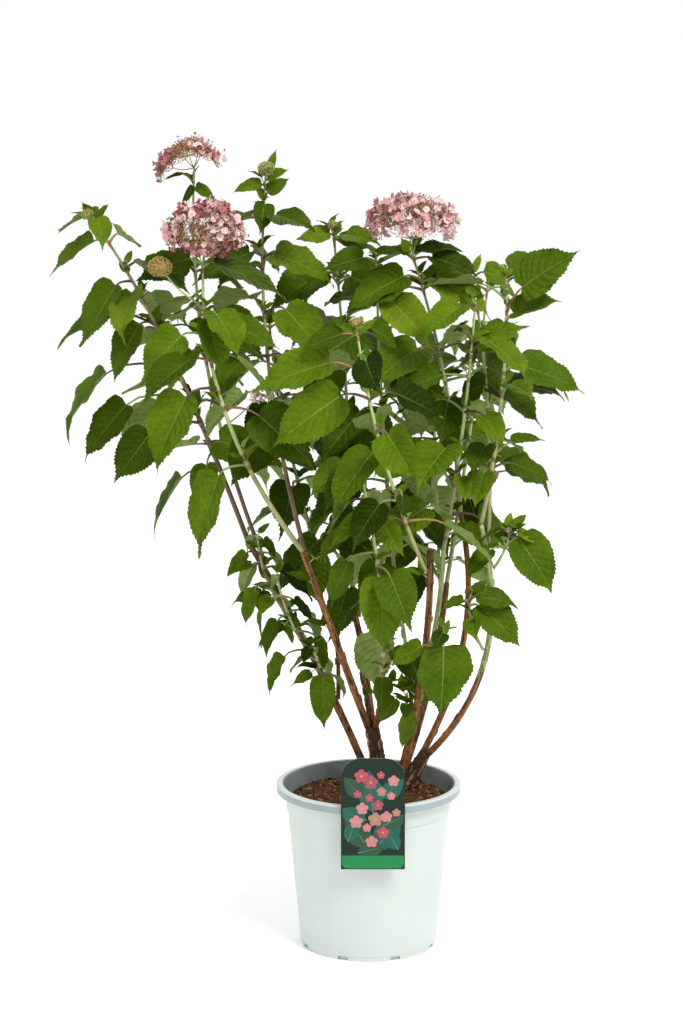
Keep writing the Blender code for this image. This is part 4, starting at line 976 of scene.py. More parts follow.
# Narrow shoots on the bare canes: the cane, the share of the way up, compass angle, rise and size.
CANE_SHOOTS = (
    ("cane_left", 0.55, 200, 0.9, 0.034), ("cane_left", 0.80, 160, 0.9, 0.030),
    ("cane_left", 0.93, 320, 0.9, 0.028), ("cane_left_rear", 0.45, 230, 0.9, 0.036),
    ("cane_left_rear", 0.62, 250, 0.9, 0.034), ("cane_left_rear", 0.78, 215, 0.9, 0.030),
    ("cane_mid", 0.40, 190, 0.9, 0.026), ("cane_mid", 0.88, 200, 0.9, 0.030),
    ("cane_right", 0.70, 190, 0.9, 0.024), ("cane_centre", 0.60, 180, 0.9, 0.024),
    ("cane_centre", 0.85, 350, 0.9, 0.026), ("sprig_left_low", 0.45, 215, -0.5, 0.050),
    ("sprig_left_low", 0.72, 200, -0.2, 0.046), ("sprig_left_mid", 0.50, 235, -0.6, 0.046),
    ("sprig_left_mid", 0.78, 190, -0.4, 0.042), ("sprig_left_base", 0.60, 200, -0.5, 0.036),
)


def young_leaf(name, height, azimuth, pitch, length):
    """A leaf that stands straight on its stem."""
    share = stems[name].path.share_at(height)
    turn, tilt = math.radians(azimuth), math.radians(pitch)
    outward = Vector((math.cos(turn), math.sin(turn), 0.0))
    along = outward * math.cos(tilt) + UP * math.sin(tilt)
    light = UP * 0.4 + FRONT + outward * 0.2
    normal = (light - along * light.dot(along)).normalized()
    root = stems[name].path.point(share)
    return Leaf(share, root, root + along * 0.003, along, normal, length, -1)


# %% Foliage by region
REGIONS = {
    "left": ("shoot_far_left", "shoot_left_head", "shoot_left_bud", "shoot_top_head", "sprig_left_low",
             "sprig_left_mid", "sprig_left_base"),
    "centre": ("shoot_centre_low", "shoot_mid_bud", "shoot_green", "shoot_back_mid", "sprig_front",
               "sprig_mid_low"),
    "right": ("shoot_right_head", "shoot_right_top", "shoot_right_mid", "sprig_right_low",
              "sprig_right_base"),
    "rear": ("shoot_back_left", "shoot_back_bud", "shoot_back", "shoot_back_right", "shoot_back_out"),
}
for region, names in REGIONS.items():
    draw = random.Random(region)
    blades = Piece()
    stalks = Piece()
    twigs = Piece()
    for name in names:
        group = leaves[name]
        add_stem(twigs, name, stems[name], sorted({leaf.share for leaf in group}))
        for leaf in group:
            narrow = draw.uniform(0.86, 1.06) * SLENDER.get(name, 1.0)
            size, narrow = TRIMS.get((name, leaf.place), (1.0, narrow))
            leaf = leaf._replace(length=leaf.length * size)
            add_leaf(blades, LARGE, leaf, tone_of(name, leaf, draw), draw, narrow)
            dark = name in DARK_PETIOLES and draw.random() < 0.7
            add_petiole(stalks, leaf, "petiole_dark" if dark else draw.choice(PETIOLE_TONES))
            if draw.random() < 0.7:
                add_side_shoot(blades, twigs, leaf, draw)
        for owner, height, azimuth, pitch, length, narrow, tone in YOUNG_LEAVES:
            if owner == name:
                add_leaf(blades, LARGE, young_leaf(name, height, azimuth, pitch, length), tone, draw, narrow)
        if name.startswith("shoot") and not name.endswith("head"):
            path = stems[name].path
            ahead = path.direction(1.0)
            add_young_pair(blades, twigs, path.end - ahead * 0.004, ahead, 0.001, 0.016, 0.028, draw)
    for cane, share, azimuth, rise, size in CANE_SHOOTS if region == "left" else ():
        turn = math.radians(azimuth)
        way = (Vector((math.cos(turn), math.sin(turn), 0.0)) + UP * rise).normalized()
        foot = stems[cane].path.point(share)
        add_young_pair(blades, twigs, foot, way, 0.014, 0.6 * size, size, draw)
    settle(blades.make("leaves_" + region), "foliage", *names)
    settle(stalks.make("petioles_" + region), "foliage", *names)
    settle(twigs.make("stems_" + region), "foliage", *names)

# %% [markdown]
# The canes are last year's wood: red-brown bark that splits lengthways and peels in pale strips,
# with a knobbly ring where old leaves sat. Old stumps are darker and rougher, and were cut flat by
# the grower's pruning. Each cane is a tube whose radius follows noise stretched along it.

# %% Bark colours
BARK_SHINE = {"Specular IOR Level": 0.20}
mottled("bark_red", (0.125, 0.040, 0.010), (0.245, 0.095, 0.024), 0.50, 0.005, 0.0004, BARK_SHINE)
mottled("bark_dark", (0.030, 0.016, 0.009), (0.070, 0.036, 0.018), 0.72, 0.005, 0.0005, BARK_SHINE)
mottled("bark_pale", (0.210, 0.110, 0.050), (0.330, 0.195, 0.100), 0.70, 0.004, 0.0003, BARK_SHINE)
mottled("bark_orange", (0.230, 0.092, 0.022), (0.345, 0.160, 0.045), 0.50, 0.005, 0.0003, BARK_SHINE)
mottled("cut_wood", (0.330, 0.240, 0.140), (0.450, 0.350, 0.220), 0.75, 0.003, 0.0002)
mottled("cane_skin", (0.230, 0.310, 0.095), (0.330, 0.400, 0.150), 0.50, 0.012, 0.0001)

# %% Canes
CANE_SIDES = 16
CANE_RINGS = 60
FLARE = 1.35
FLARE_HEIGHT = 0.012
RING_SPACING = 0.045
BARK_TONES = ("bark_dark", "bark_red", "bark_red", "bark_orange")
GREEN_TONES = ("cane_skin", "cane_skin", "cane_skin", "node_red")
GREEN_FROM = {"cane_right": 0.42, "cane_green": 0.0, "cane_mid_thin": 0.5}
PRUNED_FROM = {"cane_mid": 0.86}


def bark_noise(seed, along, around, fine):
    """Noise stretched along the cane, from -1 to 1."""
    spot = Vector((math.cos(around) * fine, math.sin(around) * fine, along * 26.0 + seed * 7.3))
    return noise.noise(spot)


def add_cane(piece, name, stem, seed, rough, tones):
    length = (stem.path.end - stem.path.start).length
    points = []
    radii = []
    skins = []
    rings = max(12, int(CANE_RINGS * length / 0.3))
    for ring in range(rings):
        share = ring / (rings - 1)
        height = share * length
        old_node = max(0.0, 1.0 - abs((height + 0.01) % RING_SPACING - RING_SPACING / 2) / 0.0035)
        flare = (FLARE - 1.0) * max(0.0, 1.0 - height / FLARE_HEIGHT) ** 2 if name in FROM_SOIL else 0.0
        radius = (stem.radius + (stem.tip_radius - stem.radius) * share) * (1.0 + flare)
        points.append(stem.path.point(share))
        row = []
        for side in range(CANE_SIDES):
            around = 2 * math.pi * side / CANE_SIDES
            grain = bark_noise(seed, height, around, 1.6) * rough
            row.append(radius * (0.96 + grain + 0.16 * old_node * (0.6 + rough)))
            pick = bark_noise(seed + 3, height, around, 2.4)
            pick += 0.5 * bark_noise(seed + 5, 3 * height, around, 4.0)
            own_tones = GREEN_TONES if share + 0.1 * pick > GREEN_FROM.get(name, 2.0) else tones
            if share + 0.05 * pick > PRUNED_FROM.get(name, 2.0):
                own_tones = ("bark_dark",) * 3 + ("bark_red",)
            skins.append(shades[own_tones[min(3, max(0, int(2.0 + 3.2 * pick)))]])
        radii.append(row)
    piece.add_tube(points, radii, CANE_SIDES, np.array(skins[CANE_SIDES:]))


def add_flakes(piece, stem, seed, count):
    """Thin strips of bark that stand off the cane by one long edge."""
    draw = random.Random(seed)
    for _ in range(count):
        share = draw.uniform(0.05, 0.9)
        axis = stem.path.direction(share)
        turn = draw.uniform(0.0, 2 * math.pi)
        first = axis.orthogonal().normalized()
        outward = Matrix.Rotation(turn, 3, axis) @ first
        aside = axis.cross(outward)
        radius = stem.radius + (stem.tip_radius - stem.radius) * share
        middle = stem.path.point(share) + outward * radius * 0.97
        reach = draw.uniform(0.004, 0.013)
        points = []
        for step in range(4):
            along = (step / 3 - 0.5) * reach
            lift = draw.uniform(0.0002, 0.0016)
            points.append(middle + axis * along)
            points.append(middle + axis * along + aside * draw.uniform(0.0010, 0.0022) + outward * lift)
        faces = [(2 * step, 2 * step + 1, 2 * step + 3, 2 * step + 2) for step in range(3)]
        piece.add(np.array(points), faces, shades[draw.choice(("bark_pale", "bark_red"))])


FROM_SOIL = {limb.name for limb in LIMBS if limb.parent == "soil"}
bark = Piece()
skin = Piece()
for number, limb in enumerate(LIMBS):
    stem = stems[limb.name]
    if limb.name == "cane_green":
        add_cane(skin, limb.name, stem, number, 0.03, GREEN_TONES)
        continue
    stump = limb.name.startswith("stu")
    tones = ("bark_dark", "bark_dark", "bark_dark", "bark_pale") if stump else BARK_TONES
    add_cane(bark, limb.name, stem, number, 0.16 if stump else 0.08, tones)
    add_flakes(bark, stem, number, 40 if stump else 14)
settle(bark.make("canes_bark"), "bark", *[limb.name for limb in LIMBS if limb.name != "cane_green"])
settle(skin.make("cane_young"), "green_cane", "cane_green")

# %% [markdown]
# A flower head is a dome of small clusters on fine branching stalks. In each cluster a few showy
# sterile florets, with four rounded sepals, stand round a crowd of tiny fertile ones, which are
# beads with hair-fine stamens. These old heads are dusty pink, rosier where the sun caught a rim.

# %% Flower colours
mottled("sepal_pale", (0.520, 0.310, 0.295), (0.680, 0.470, 0.440), 0.60, 0.003, 0.0003)
mottled("sepal_pink", (0.380, 0.165, 0.165), (0.540, 0.290, 0.280), 0.60, 0.003, 0.0003)
mottled("sepal_rose", (0.310, 0.075, 0.090), (0.440, 0.150, 0.160), 0.60, 0.003, 0.0003)
mottled("sepal_crimson", (0.230, 0.025, 0.042), (0.360, 0.060, 0.080), 0.60, 0.003, 0.0003)
mottled("sepal_cream", (0.500, 0.410, 0.310), (0.620, 0.530, 0.420), 0.60, 0.003, 0.0003)
mottled("sepal_blush", (0.600, 0.380, 0.370), (0.740, 0.540, 0.520), 0.60, 0.003, 0.0003)
BEAD_SHINE = {"Specular IOR Level": 0.15}
mottled("bead_tan", (0.330, 0.200, 0.070), (0.470, 0.310, 0.130), 0.60, 0.002, 0.0001, BEAD_SHINE)
mottled("bead_green", (0.215, 0.235, 0.050), (0.320, 0.325, 0.090), 0.60, 0.002, 0.0001, BEAD_SHINE)
mottled("bead_brown", (0.190, 0.080, 0.038), (0.300, 0.142, 0.074), 0.60, 0.002, 0.0001, BEAD_SHINE)
mottled("bead_straw", (0.250, 0.185, 0.045), (0.360, 0.275, 0.080), 0.60, 0.002, 0.0001, BEAD_SHINE)
mottled("bead_rose", (0.300, 0.128, 0.105), (0.410, 0.200, 0.165), 0.60, 0.002, 0.0001, BEAD_SHINE)
mottled("ray_pale", (0.300, 0.310, 0.130), (0.400, 0.390, 0.190), 0.50, 0.004, 0.0001)
mottled("ray_tan", (0.340, 0.210, 0.115), (0.460, 0.310, 0.185), 0.50, 0.004, 0.0001)
mottled("withered", (0.060, 0.045, 0.050), (0.110, 0.080, 0.085), 0.70, 0.002, 0.0001)

# %% Florets
GOLDEN_ANGLE = math.pi * (3.0 - math.sqrt(5.0))
SEPAL_LENGTH = 0.0068
SEPAL_WIDTH = 0.0078
SEPAL_STEPS = (0.0, 0.3, 0.6, 0.85, 1.0)
SEPAL_WIDTHS = (0.18, 0.74, 1.0, 0.82, 0.34)


def ball(radius, level):
    """Points and faces of a faceted ball."""
    shape = bpy.data.meshes.new("ball")
    work = bmesh.new()
    bmesh.ops.create_icosphere(work, subdivisions=level, radius=radius)
    work.to_mesh(shape)
    work.free()
    points = np.array([tuple(vertex.co) for vertex in shape.vertices])
    faces = np.array([tuple(face.vertices) for face in shape.polygons])
    bpy.data.meshes.remove(shape)
    return points, faces


BEAD_POINTS, BEAD_FACES = ball(1.0, 1)
SEPAL_FACES = np.array([(4 * row + column, 4 * row + column + 1, 4 * row + column + 5, 4 * row + column + 4)
                        for row in range(len(SEPAL_STEPS) - 1) for column in range(3)])


def frame_of(facing, spin):
    """Three unit directions with the third along facing."""
    first = facing.orthogonal().normalized()
    first = Matrix.Rotation(spin, 3, facing) @ first
    return first, facing.cross(first), facing


def shaken(way, amount, draw):
    """A direction turned by a random tilt."""
    return (way + Vector([draw.uniform(-amount, amount) for _ in range(3)])).normalized()


def add_bead(piece, place, radius, shade, squash=1.0):
    piece.add(np.array(place) + BEAD_POINTS * np.array((radius, radius, radius * squash)), BEAD_FACES, shade)


def add_floret(piece, place, facing, size, tone, draw):
    """Four overlapping rounded sepals round a bead."""
    first, second, out = frame_of(facing, draw.uniform(0.0, math.pi))
    cup = draw.uniform(0.0, 0.9)
    for number in range(4):
        angle = math.pi / 2 * number + draw.uniform(-0.16, 0.16)
        way = first * math.cos(angle) + second * math.sin(angle)
        aside = out.cross(way)
        own = size * draw.uniform(0.78, 1.12)
        bend = draw.uniform(-0.8, 0.4)
        points = []
        for share, width in zip(SEPAL_STEPS, SEPAL_WIDTHS):
            for across in (-0.5, -0.17, 0.17, 0.5):
                lift = cup * share + bend * share ** 2 + 0.9 * across ** 2 * share - 0.03 * (number % 2)
                points.append(place + way * own * SEPAL_LENGTH * (share - 0.35 * across ** 2 * share)
                              + aside * own * SEPAL_WIDTH * width * across + out * own * SEPAL_LENGTH * lift)
        piece.add(np.array(points), SEPAL_FACES, shades[tone])
    add_bead(piece, place + out * 0.0006, 0.0009 * size, shades[draw.choice(("bead_tan", "bead_brown"))])


def add_pedicel(piece, start, end, facing, thick, tone):
    """A fine stalk that curves into the back of what it carries."""
    bend = end - facing * (end - start).length * 0.45
    points = [start * (1 - s) ** 2 + bend * 2 * s * (1 - s) + end * s ** 2 for s in (0.0, 0.35, 0.7, 1.0)]
    piece.add_tube(points, [thick, thick * 0.8, thick * 0.7, thick * 0.6], 3, shades[tone])


def add_hair(piece, start, end, thick, tone):
    """A hair-fine filament: a slim blade of three corners, and another square to it."""
    way = (end - start).normalized()
    for side in (way.orthogonal().normalized(), way.cross(way.orthogonal()).normalized()):
        piece.add(np.array([start - side * thick, start + side * thick, end]), [(0, 1, 2)], shades[tone])


def add_fertile(piece, place, facing, tone, draw):
    """A tiny fertile floret: a bead on a short stalk with a few stamens."""
    foot = place - facing * draw.uniform(0.003, 0.006)
    add_hair(piece, foot, place, 0.00030, "ray_tan")
    add_bead(piece, place, draw.uniform(0.0006, 0.0011), shades[tone])
    for _ in range(2):
        tip = place + shaken(facing, 0.8, draw) * draw.uniform(0.0015, 0.0030)
        add_hair(piece, place, tip, 0.00018, tone)


# %% [markdown]
# Each head follows its own pattern of colour: the left one is rosy at its rims, with tan beads in
# its middle and a thin place low down where the light comes through. The top one is an open
# umbrella of beads whose few sepals sit at its sides, and the right one is evenly dusty pink.
# A stalk parts into a few main rays, each main ray into finer ones, and each of those ends in a
# cluster, so that the whole head hangs together as the real one does.

# %% Flower heads
FLORET_THICKNESS = 0.0030
DOME_SHARE = 0.62
UMBRELLA_ARCH = 0.026
UMBRELLA_LEAN = 0.20
UMBRELLA_SINK = 0.0030
UMBRELLA_DEPTH = 0.85
NEAR_ARCH = 0.25
RAGGED = 0.006
MAIN_RAY_SHARE = 0.50
HIGHEST = cad_box[1].z - 0.001
Pattern = namedtuple("Pattern", "branches clusters lowest florets small large beads spread depth tone "
                                "bead_tones thin bare")


def head_point(head, across, away, height):
    """A point of a flower head, from its place in a unit ball."""
    wide = head.width / 2 - FLORET_THICKNESS
    high = (head.height - 2 * FLORET_THICKNESS) * (DOME_SHARE if height > 0 else 1.0 - DOME_SHARE)
    place = Vector((across * wide, away * wide, height * high))
    if head.rays:
        place.y *= UMBRELLA_DEPTH
        fall = UMBRELLA_ARCH * (across ** 2 + NEAR_ARCH * away ** 2)
        place.z += UMBRELLA_LEAN * place.x - fall - UMBRELLA_SINK
    return Vector(head.centre) + place


def spots(count, lowest, draw):
    """Places in a unit ball, spread over it down to a height, with a little disorder."""
    for number in range(count):
        height = 1.0 - (1.0 - lowest) * (number + 0.5) / count
        around = GOLDEN_ANGLE * number + draw.uniform(-0.2, 0.2)
        ring = math.sqrt(1.0 - height ** 2)
        yield ring * math.cos(around), ring * math.sin(around), height


def left_tone(across, height, draw):
    top_rim = height > 0.45 and (across < -0.45 or across > 0.35 or abs(across + 0.1) < 0.12)
    low_rim = height < -0.2 and (across < -0.6 or 0.4 < across < 0.8)
    if top_rim or low_rim or across > 0.88:
        return draw.choice(("sepal_rose", "sepal_crimson", "sepal_pink", "sepal_rose"))
    if height < -0.33:
        return draw.choice(("sepal_pink", "sepal_rose", "sepal_pale"))
    return draw.choice(("sepal_pale", "sepal_blush", "sepal_blush", "sepal_blush", "sepal_pink"))


def right_tone(across, height, draw):
    if across - height > 0.7:
        return draw.choice(("sepal_cream", "sepal_pale", "sepal_blush"))
    if across < -0.2 and height > 0.1:
        return draw.choice(("sepal_pink", "sepal_pale", "sepal_pink", "sepal_rose"))
    return draw.choice(("sepal_pale", "sepal_pink", "sepal_blush"))


def top_tone(across, height, draw):
    if across < 0.1:
        return draw.choice(("sepal_rose", "sepal_crimson", "sepal_pink", "sepal_rose"))
    return draw.choice(("sepal_blush", "sepal_pink", "sepal_blush"))


def left_thin(across, height):
    return abs(across - 0.20) < 0.22 and -0.66 < height < -0.10


def never_thin(across, height):
    return False


def left_bare(across, height):
    """The chance that a floret is missing, so that the beads show."""
    return 0.80 if abs(across + 0.28) < 0.34 and -0.30 < height < 0.35 else 0.05


def top_bare(across, height):
    return 0.85 if abs(across + 0.1) < 0.32 else 0.20


def right_bare(across, height):
    return 0.45 if abs(across - 0.3) < 0.2 or abs(across + 0.45) < 0.15 else 0.08


def grow_cluster(piece, head, pattern, seat, knot, thin, draw):
    """One cluster: a crowd of beads, and florets round and among them."""
    centre = Vector(head.centre)
    outward = (seat - knot).normalized()
    reach = (seat - knot).length / 0.9
    first, second, _ = frame_of(outward, draw.uniform(0.0, math.pi))
    for number in range(pattern.beads // (3 if thin else 1)):
        ring = math.sqrt((number + 0.5) / pattern.beads) * reach
        around = GOLDEN_ANGLE * number
        place = seat + (first * math.cos(around) + second * math.sin(around)) * ring
        place -= outward * (reach * 0.15 + 0.35 * ring ** 2 / reach + draw.uniform(0.0, pattern.depth))
        facing = (place - knot).normalized()
        add_hair(piece, knot, place, 0.00026, "ray_tan")
        add_fertile(piece, place, facing, draw.choice(pattern.bead_tones), draw)
    for number in range(0 if thin else pattern.florets):
        around = 2 * math.pi * (number + draw.uniform(-0.3, 0.3)) / pattern.florets
        ring = reach * (0.15 if number == 0 else draw.uniform(0.45, 1.0))
        place = seat + (first * math.cos(around) + second * math.sin(around)) * ring
        place -= outward * (0.45 * ring ** 2 / reach + draw.uniform(-0.001, 0.003))
        place.z = min(place.z, HIGHEST - 0.0035)
        facing = shaken((place - knot).normalized(), 0.75, draw)
        across, height = 2 * (place.x - centre.x) / head.width, 1.6 * (place.z - centre.z) / head.height
        tone = pattern.tone(across, height, draw)
        size = draw.uniform(pattern.small, pattern.large)
        if draw.random() >= pattern.bare(across, height):
            add_pedicel(piece, knot, place, facing, 0.0003, "ray_tan")
            add_floret(piece, place, facing, size, tone, draw)


def grow_head(head, pattern):
    """A head's stalk, its main and fine rays, and its clusters."""
    piece = Piece()
    draw = random.Random(head.name)
    centre = Vector(head.centre)
    path = stems[head.shoot].path
    start = path.end + path.direction(1.0) * SEAT_GAP
    fork = start + UP * 0.003 if head.rays else centre - UP * head.height * 0.30
    bend = start + path.direction(1.0) * (fork - start).length * 0.5
    stalk = [start * (1 - s) ** 2 + bend * 2 * s * (1 - s) + fork * s ** 2 for s in np.linspace(0, 1, 7)]
    piece.add_tube(stalk, np.linspace(0.0013, 0.0011, 7), 8, shades["ray_pale"])
    knees = [fork.lerp(head_point(head, *spot), MAIN_RAY_SHARE)
             for spot in spots(pattern.branches, pattern.lowest, draw)]
    for knee in knees:
        add_pedicel(piece, fork, knee, (knee - fork + UP * 0.01).normalized(), 0.0009, "ray_pale")
    middle = centre - UP * (head.width / 2 if head.rays else 0.0)
    for cluster, (across, away, height) in enumerate(spots(pattern.clusters, pattern.lowest, draw)):
        seat = head_point(head, across, away, height)
        outward = (seat - middle).normalized()
        seat -= outward * draw.uniform(-0.2, 1.0) * RAGGED
        knot = seat - outward * pattern.spread * draw.uniform(0.85, 1.15) * 0.9
        knee = min(knees, key=lambda place: (place - knot).length)
        add_pedicel(piece, knee, knot, outward, 0.0005, "ray_tan")
        grow_cluster(piece, head, pattern, seat, knot, pattern.thin(across, height), draw)
        if cluster % 3 == 0:
            way = shaken(outward, 0.5, draw)
            tip = seat + way * draw.uniform(0.003, 0.007)
            tip.z = min(tip.z, HIGHEST - 0.002)
            add_pedicel(piece, knot, tip, way, 0.0003, "withered")
            add_floret(piece, tip, way, 0.28, draw.choice(("withered", "sepal_crimson")), draw)
    return piece


PATTERNS = {
    "flower_head_left": Pattern(
        branches=7, clusters=38, lowest=-0.95, florets=10, small=0.50, large=0.92, beads=44, spread=0.0125,
        depth=0.004, tone=left_tone, bead_tones=("bead_tan", "bead_tan", "bead_brown"), thin=left_thin,
        bare=left_bare),
    "flower_head_top": Pattern(
        branches=5, clusters=26, lowest=0.10, florets=5, small=0.40, large=0.75, beads=60, spread=0.0110,
        depth=0.007, tone=top_tone, bead_tones=("bead_brown", "bead_brown", "bead_rose", "bead_tan"),
        thin=never_thin, bare=top_bare),
    "flower_head_right": Pattern(
        branches=7, clusters=36, lowest=-0.42, florets=9, small=0.55, large=0.95, beads=36, spread=0.0135,
        depth=0.004, tone=right_tone, bead_tones=("bead_rose", "bead_brown", "bead_tan"), thin=never_thin,
        bare=right_bare),
}
for head in HEADS:
    bloom = grow_head(head, PATTERNS[head.name])
    settle(bloom.make("bloom_" + head.name), "blossom", head.name)

# %% [markdown]
# A shoot that hasn't flowered yet ends in a flat ball of tiny closed buds, like a bramble fruit,
# on a short stalk. Young ones are green and older ones tan.

# %% Closed buds
BUD_FLATNESS = 0.85
BUD_SEAT = 0.5
BUD_SIZES = {"shoot_far_left": 0.0078, "shoot_left_bud": 0.0106, "shoot_mid_bud": 0.0085,
             "shoot_back_bud": 0.0065}
BUD_TONES = {"shoot_far_left": ("bead_brown", "bead_green", "bead_green"),
             "shoot_left_bud": ("shoot_olive", "bead_green", "shoot_olive"),
             "shoot_mid_bud": ("bead_tan", "bead_green", "bead_tan"),
             "shoot_back_bud": ("bead_green", "bead_tan", "bead_green")}
# A bud on a side stalk of its own: its shoot, the height its stalk leaves at, the bud's place,
# radius, number of beads and tones.
SIDE_BUDS = (
    ("shoot_left_head", 0.790, (-0.2452, -0.050, 0.8362), 0.0150, 520, ("bead_straw", "bead_tan", "bead_straw")),
    ("shoot_right_top", 0.815, (0.1570, -0.020, 0.8340), 0.0042, 40, ("bead_green", "shoot_green")),
    ("shoot_right_mid", 0.815, (0.1180, 0.020, 0.8330), 0.0040, 40, ("bead_green", "shoot_green")),
)


def add_bud(piece, middle, radius, beads, tones, draw):
    add_bead(piece, middle, radius * 0.84, shades[tones[-1]], BUD_FLATNESS)
    size = math.sqrt(110.0 / beads)
    for across, away, height in spots(beads, -0.9, draw):
        place = middle + Vector((across, away, height * BUD_FLATNESS)) * radius * draw.uniform(0.84, 0.98)
        add_bead(piece, place, radius * size * draw.uniform(0.09, 0.16), shades[draw.choice(tones)])
        if draw.random() < 0.25:
            tip = place + shaken((place - middle).normalized(), 0.5, draw) * draw.uniform(0.001, 0.0025)
            add_hair(piece, place, tip, 0.0002, draw.choice(tones))


buds = Piece()
bud_draw = random.Random(5)
for shoot in SHOOTS:
    if shoot.ending == "bud":
        path = stems[shoot.name].path
        radius = BUD_SIZES[shoot.name]
        middle = path.end + path.direction(1.0) * radius * BUD_SEAT
        add_bud(buds, middle, radius, 130, BUD_TONES[shoot.name], bud_draw)
for owner, height, place, radius, beads, tones in SIDE_BUDS:
    path = stems[owner].path
    place = Vector(place)
    foot = path.point(path.share_at(height))
    bend = foot.lerp(place, 0.6) - UP * 0.012
    stalk = [foot * (1 - s) ** 2 + bend * 2 * s * (1 - s) + place * s ** 2 for s in np.linspace(0, 1, 9)]
    buds.add_tube(stalk, np.linspace(0.0012, 0.0008, 9), 7, shades["shoot_olive"])
    add_bud(buds, place, radius, beads, tones, bud_draw)
settle(buds.make("closed_buds"), "foliage", *BUD_TONES, *{bud[0] for bud in SIDE_BUDS})

# %% [markdown]
# Two spent clusters hang low on the plant: one whose sepals have faded to cream, and one that is
# only a tangle of green and brown threads. Each has its own thin stalk.

# %% Spent clusters
FADED_PLACE = Vector((-0.1316, -0.060, 0.6857))
TANGLE_PLACE = Vector((0.0686, -0.075, 0.6020))
FADED_RADIUS, TANGLE_RADIUS = 0.011, 0.015
spent = Piece()
spent_draw = random.Random(21)


def add_spent_stalk(owner, height, place):
    path = stems[owner].path
    foot = path.point(path.share_at(height))
    way = (place - foot).normalized()
    add_pedicel(spent, foot, place, (way + UP * 0.3).normalized(), 0.0011, "petiole_red")


add_spent_stalk("shoot_left_head", 0.655, FADED_PLACE)
for spot in spots(16, -0.9, spent_draw):
    way = Vector(spot)
    place = FADED_PLACE + way * FADED_RADIUS * spent_draw.uniform(0.5, 1.0)
    add_pedicel(spent, FADED_PLACE, place, way, 0.0003, "ray_tan")
    tone = spent_draw.choice(("sepal_cream", "sepal_cream", "bead_straw"))
    add_floret(spent, place, shaken(way, 0.8, spent_draw), spent_draw.uniform(0.4, 0.75), tone, spent_draw)
add_spent_stalk("shoot_mid_bud", 0.575, TANGLE_PLACE)
for spot in spots(170, -0.95, spent_draw):
    way = shaken(Vector(spot), 0.4, spent_draw)
    place = TANGLE_PLACE + way * TANGLE_RADIUS * spent_draw.uniform(0.5, 1.0)
    tone = spent_draw.choice(("bead_green", "shoot_green", "bead_straw", "petiole_dark"))
    add_pedicel(spent, TANGLE_PLACE + way * 0.003, place, shaken(way, 0.9, spent_draw), 0.0004, tone)
    add_bead(spent, place, spent_draw.uniform(0.0006, 0.0011), shades[tone])
settle(spent.make("spent_clusters"), "blossom", "shoot_left_head", "shoot_mid_bud")

# %% [markdown]
# The pot is thin moulded plastic, pale mint on the outside. It has an overhanging lip with softly
# rounded edges, a small step that keeps stacked pots from jamming, and drain slots at its foot.
# A turned profile with a cut for each slot makes it.

# %% Pot finish
pot_finish = mottled("pot_plastic", (0.468, 0.516, 0.484), (0.495, 0.542, 0.510), 0.36, 0.060, 0.0002)
rim_finish = mottled("pot_rim_grey", (0.230, 0.275, 0.285), (0.270, 0.315, 0.325), 0.32, 0.030, 0.0001)
inner_finish = mottled("pot_inner_grey", (0.120, 0.140, 0.142), (0.180, 0.205, 0.205), 0.42, 0.020, 0.0002)
MIX_SHINE = {"Specular IOR Level": 0.05}
mottled("mix_brown", (0.038, 0.015, 0.005), (0.100, 0.044, 0.015), 0.95, 0.003, 0.0010, MIX_SHINE)
mottled("mix_pale", (0.170, 0.085, 0.036), (0.270, 0.155, 0.075), 0.92, 0.003, 0.0004, MIX_SHINE)
mottled("mix_black", (0.010, 0.006, 0.004), (0.024, 0.014, 0.009), 0.95, 0.003, 0.0006, MIX_SHINE)

# %% Pot
POT_HEIGHT = 0.202
POT_STEPS = 160
SLOT_COUNT = 8
FOOT_RADIUS = 0.0832
SKIRT_LOW, SKIRT_HIGH, SKIRT_RADIUS = 0.1905, 0.1990, 0.1115
POT_FLOOR, MOUTH_RADIUS = 0.01, 0.1060
POT_PROFILE = (
    (0.0, 0.0030), (0.0812, 0.0030), (0.0971, 0.1685), (0.0986, 0.1715), (0.1007, 0.1915), (0.1038, 0.2000),
    (0.1042, 0.2012), (0.1050, 0.2018), (0.1060, 0.2020), (0.1110, 0.2020), (0.1122, 0.2017),
    (0.1128, 0.2011), (0.1130, 0.2002), (0.1126, 0.1925), (0.1121, 0.1918), (0.1112, 0.1915),
    (0.1032, 0.1915), (0.1027, 0.1910), (0.1020, 0.1850), (0.1006, 0.1702), (0.1001, 0.1693),
    (0.0991, 0.1685), (0.0839, 0.0065), (0.0837, 0.0058), (0.0832, 0.0054), (0.0826, 0.0),
    (0.0700, 0.0), (0.0, 0.0))
profile = bpy.data.meshes.new("pot_profile")
profile.from_pydata([(radius, 0.0, height) for radius, height in POT_PROFILE],
                    [(number, number + 1) for number in range(len(POT_PROFILE) - 1)], [])
profile.materials.append(pot_finish.material)
pot = bpy.data.objects.new("pot_shell", profile)
bpy.context.scene.collection.objects.link(pot)
turn = pot.modifiers.new("Turn", "SCREW")
turn.steps = POT_STEPS
turn.render_steps = POT_STEPS
turn.use_merge_vertices = True
turn.merge_threshold = 0.00001
turn.use_smooth_shade = True
slot_cuts = []
for number in range(SLOT_COUNT):
    angle = 2 * math.pi * (number + 0.5) / SLOT_COUNT
    bpy.ops.mesh.primitive_cube_add(size=1.0, location=(FOOT_RADIUS * math.cos(angle),
                                                        FOOT_RADIUS * math.sin(angle), 0.0))
    cut = bpy.context.object
    cut.scale = (0.008, 0.013, 0.009)
    cut.rotation_euler = (0.0, 0.0, angle)
    slot_cuts.append(cut)
    drain = pot.modifiers.new("Drain", "BOOLEAN")
    drain.object = cut
    drain.solver = "MANIFOLD"
bpy.context.view_layer.update()
turned_pot = bpy.data.meshes.new_from_object(pot.evaluated_get(bpy.context.evaluated_depsgraph_get()))
pot.modifiers.clear()
pot.data = turned_pot
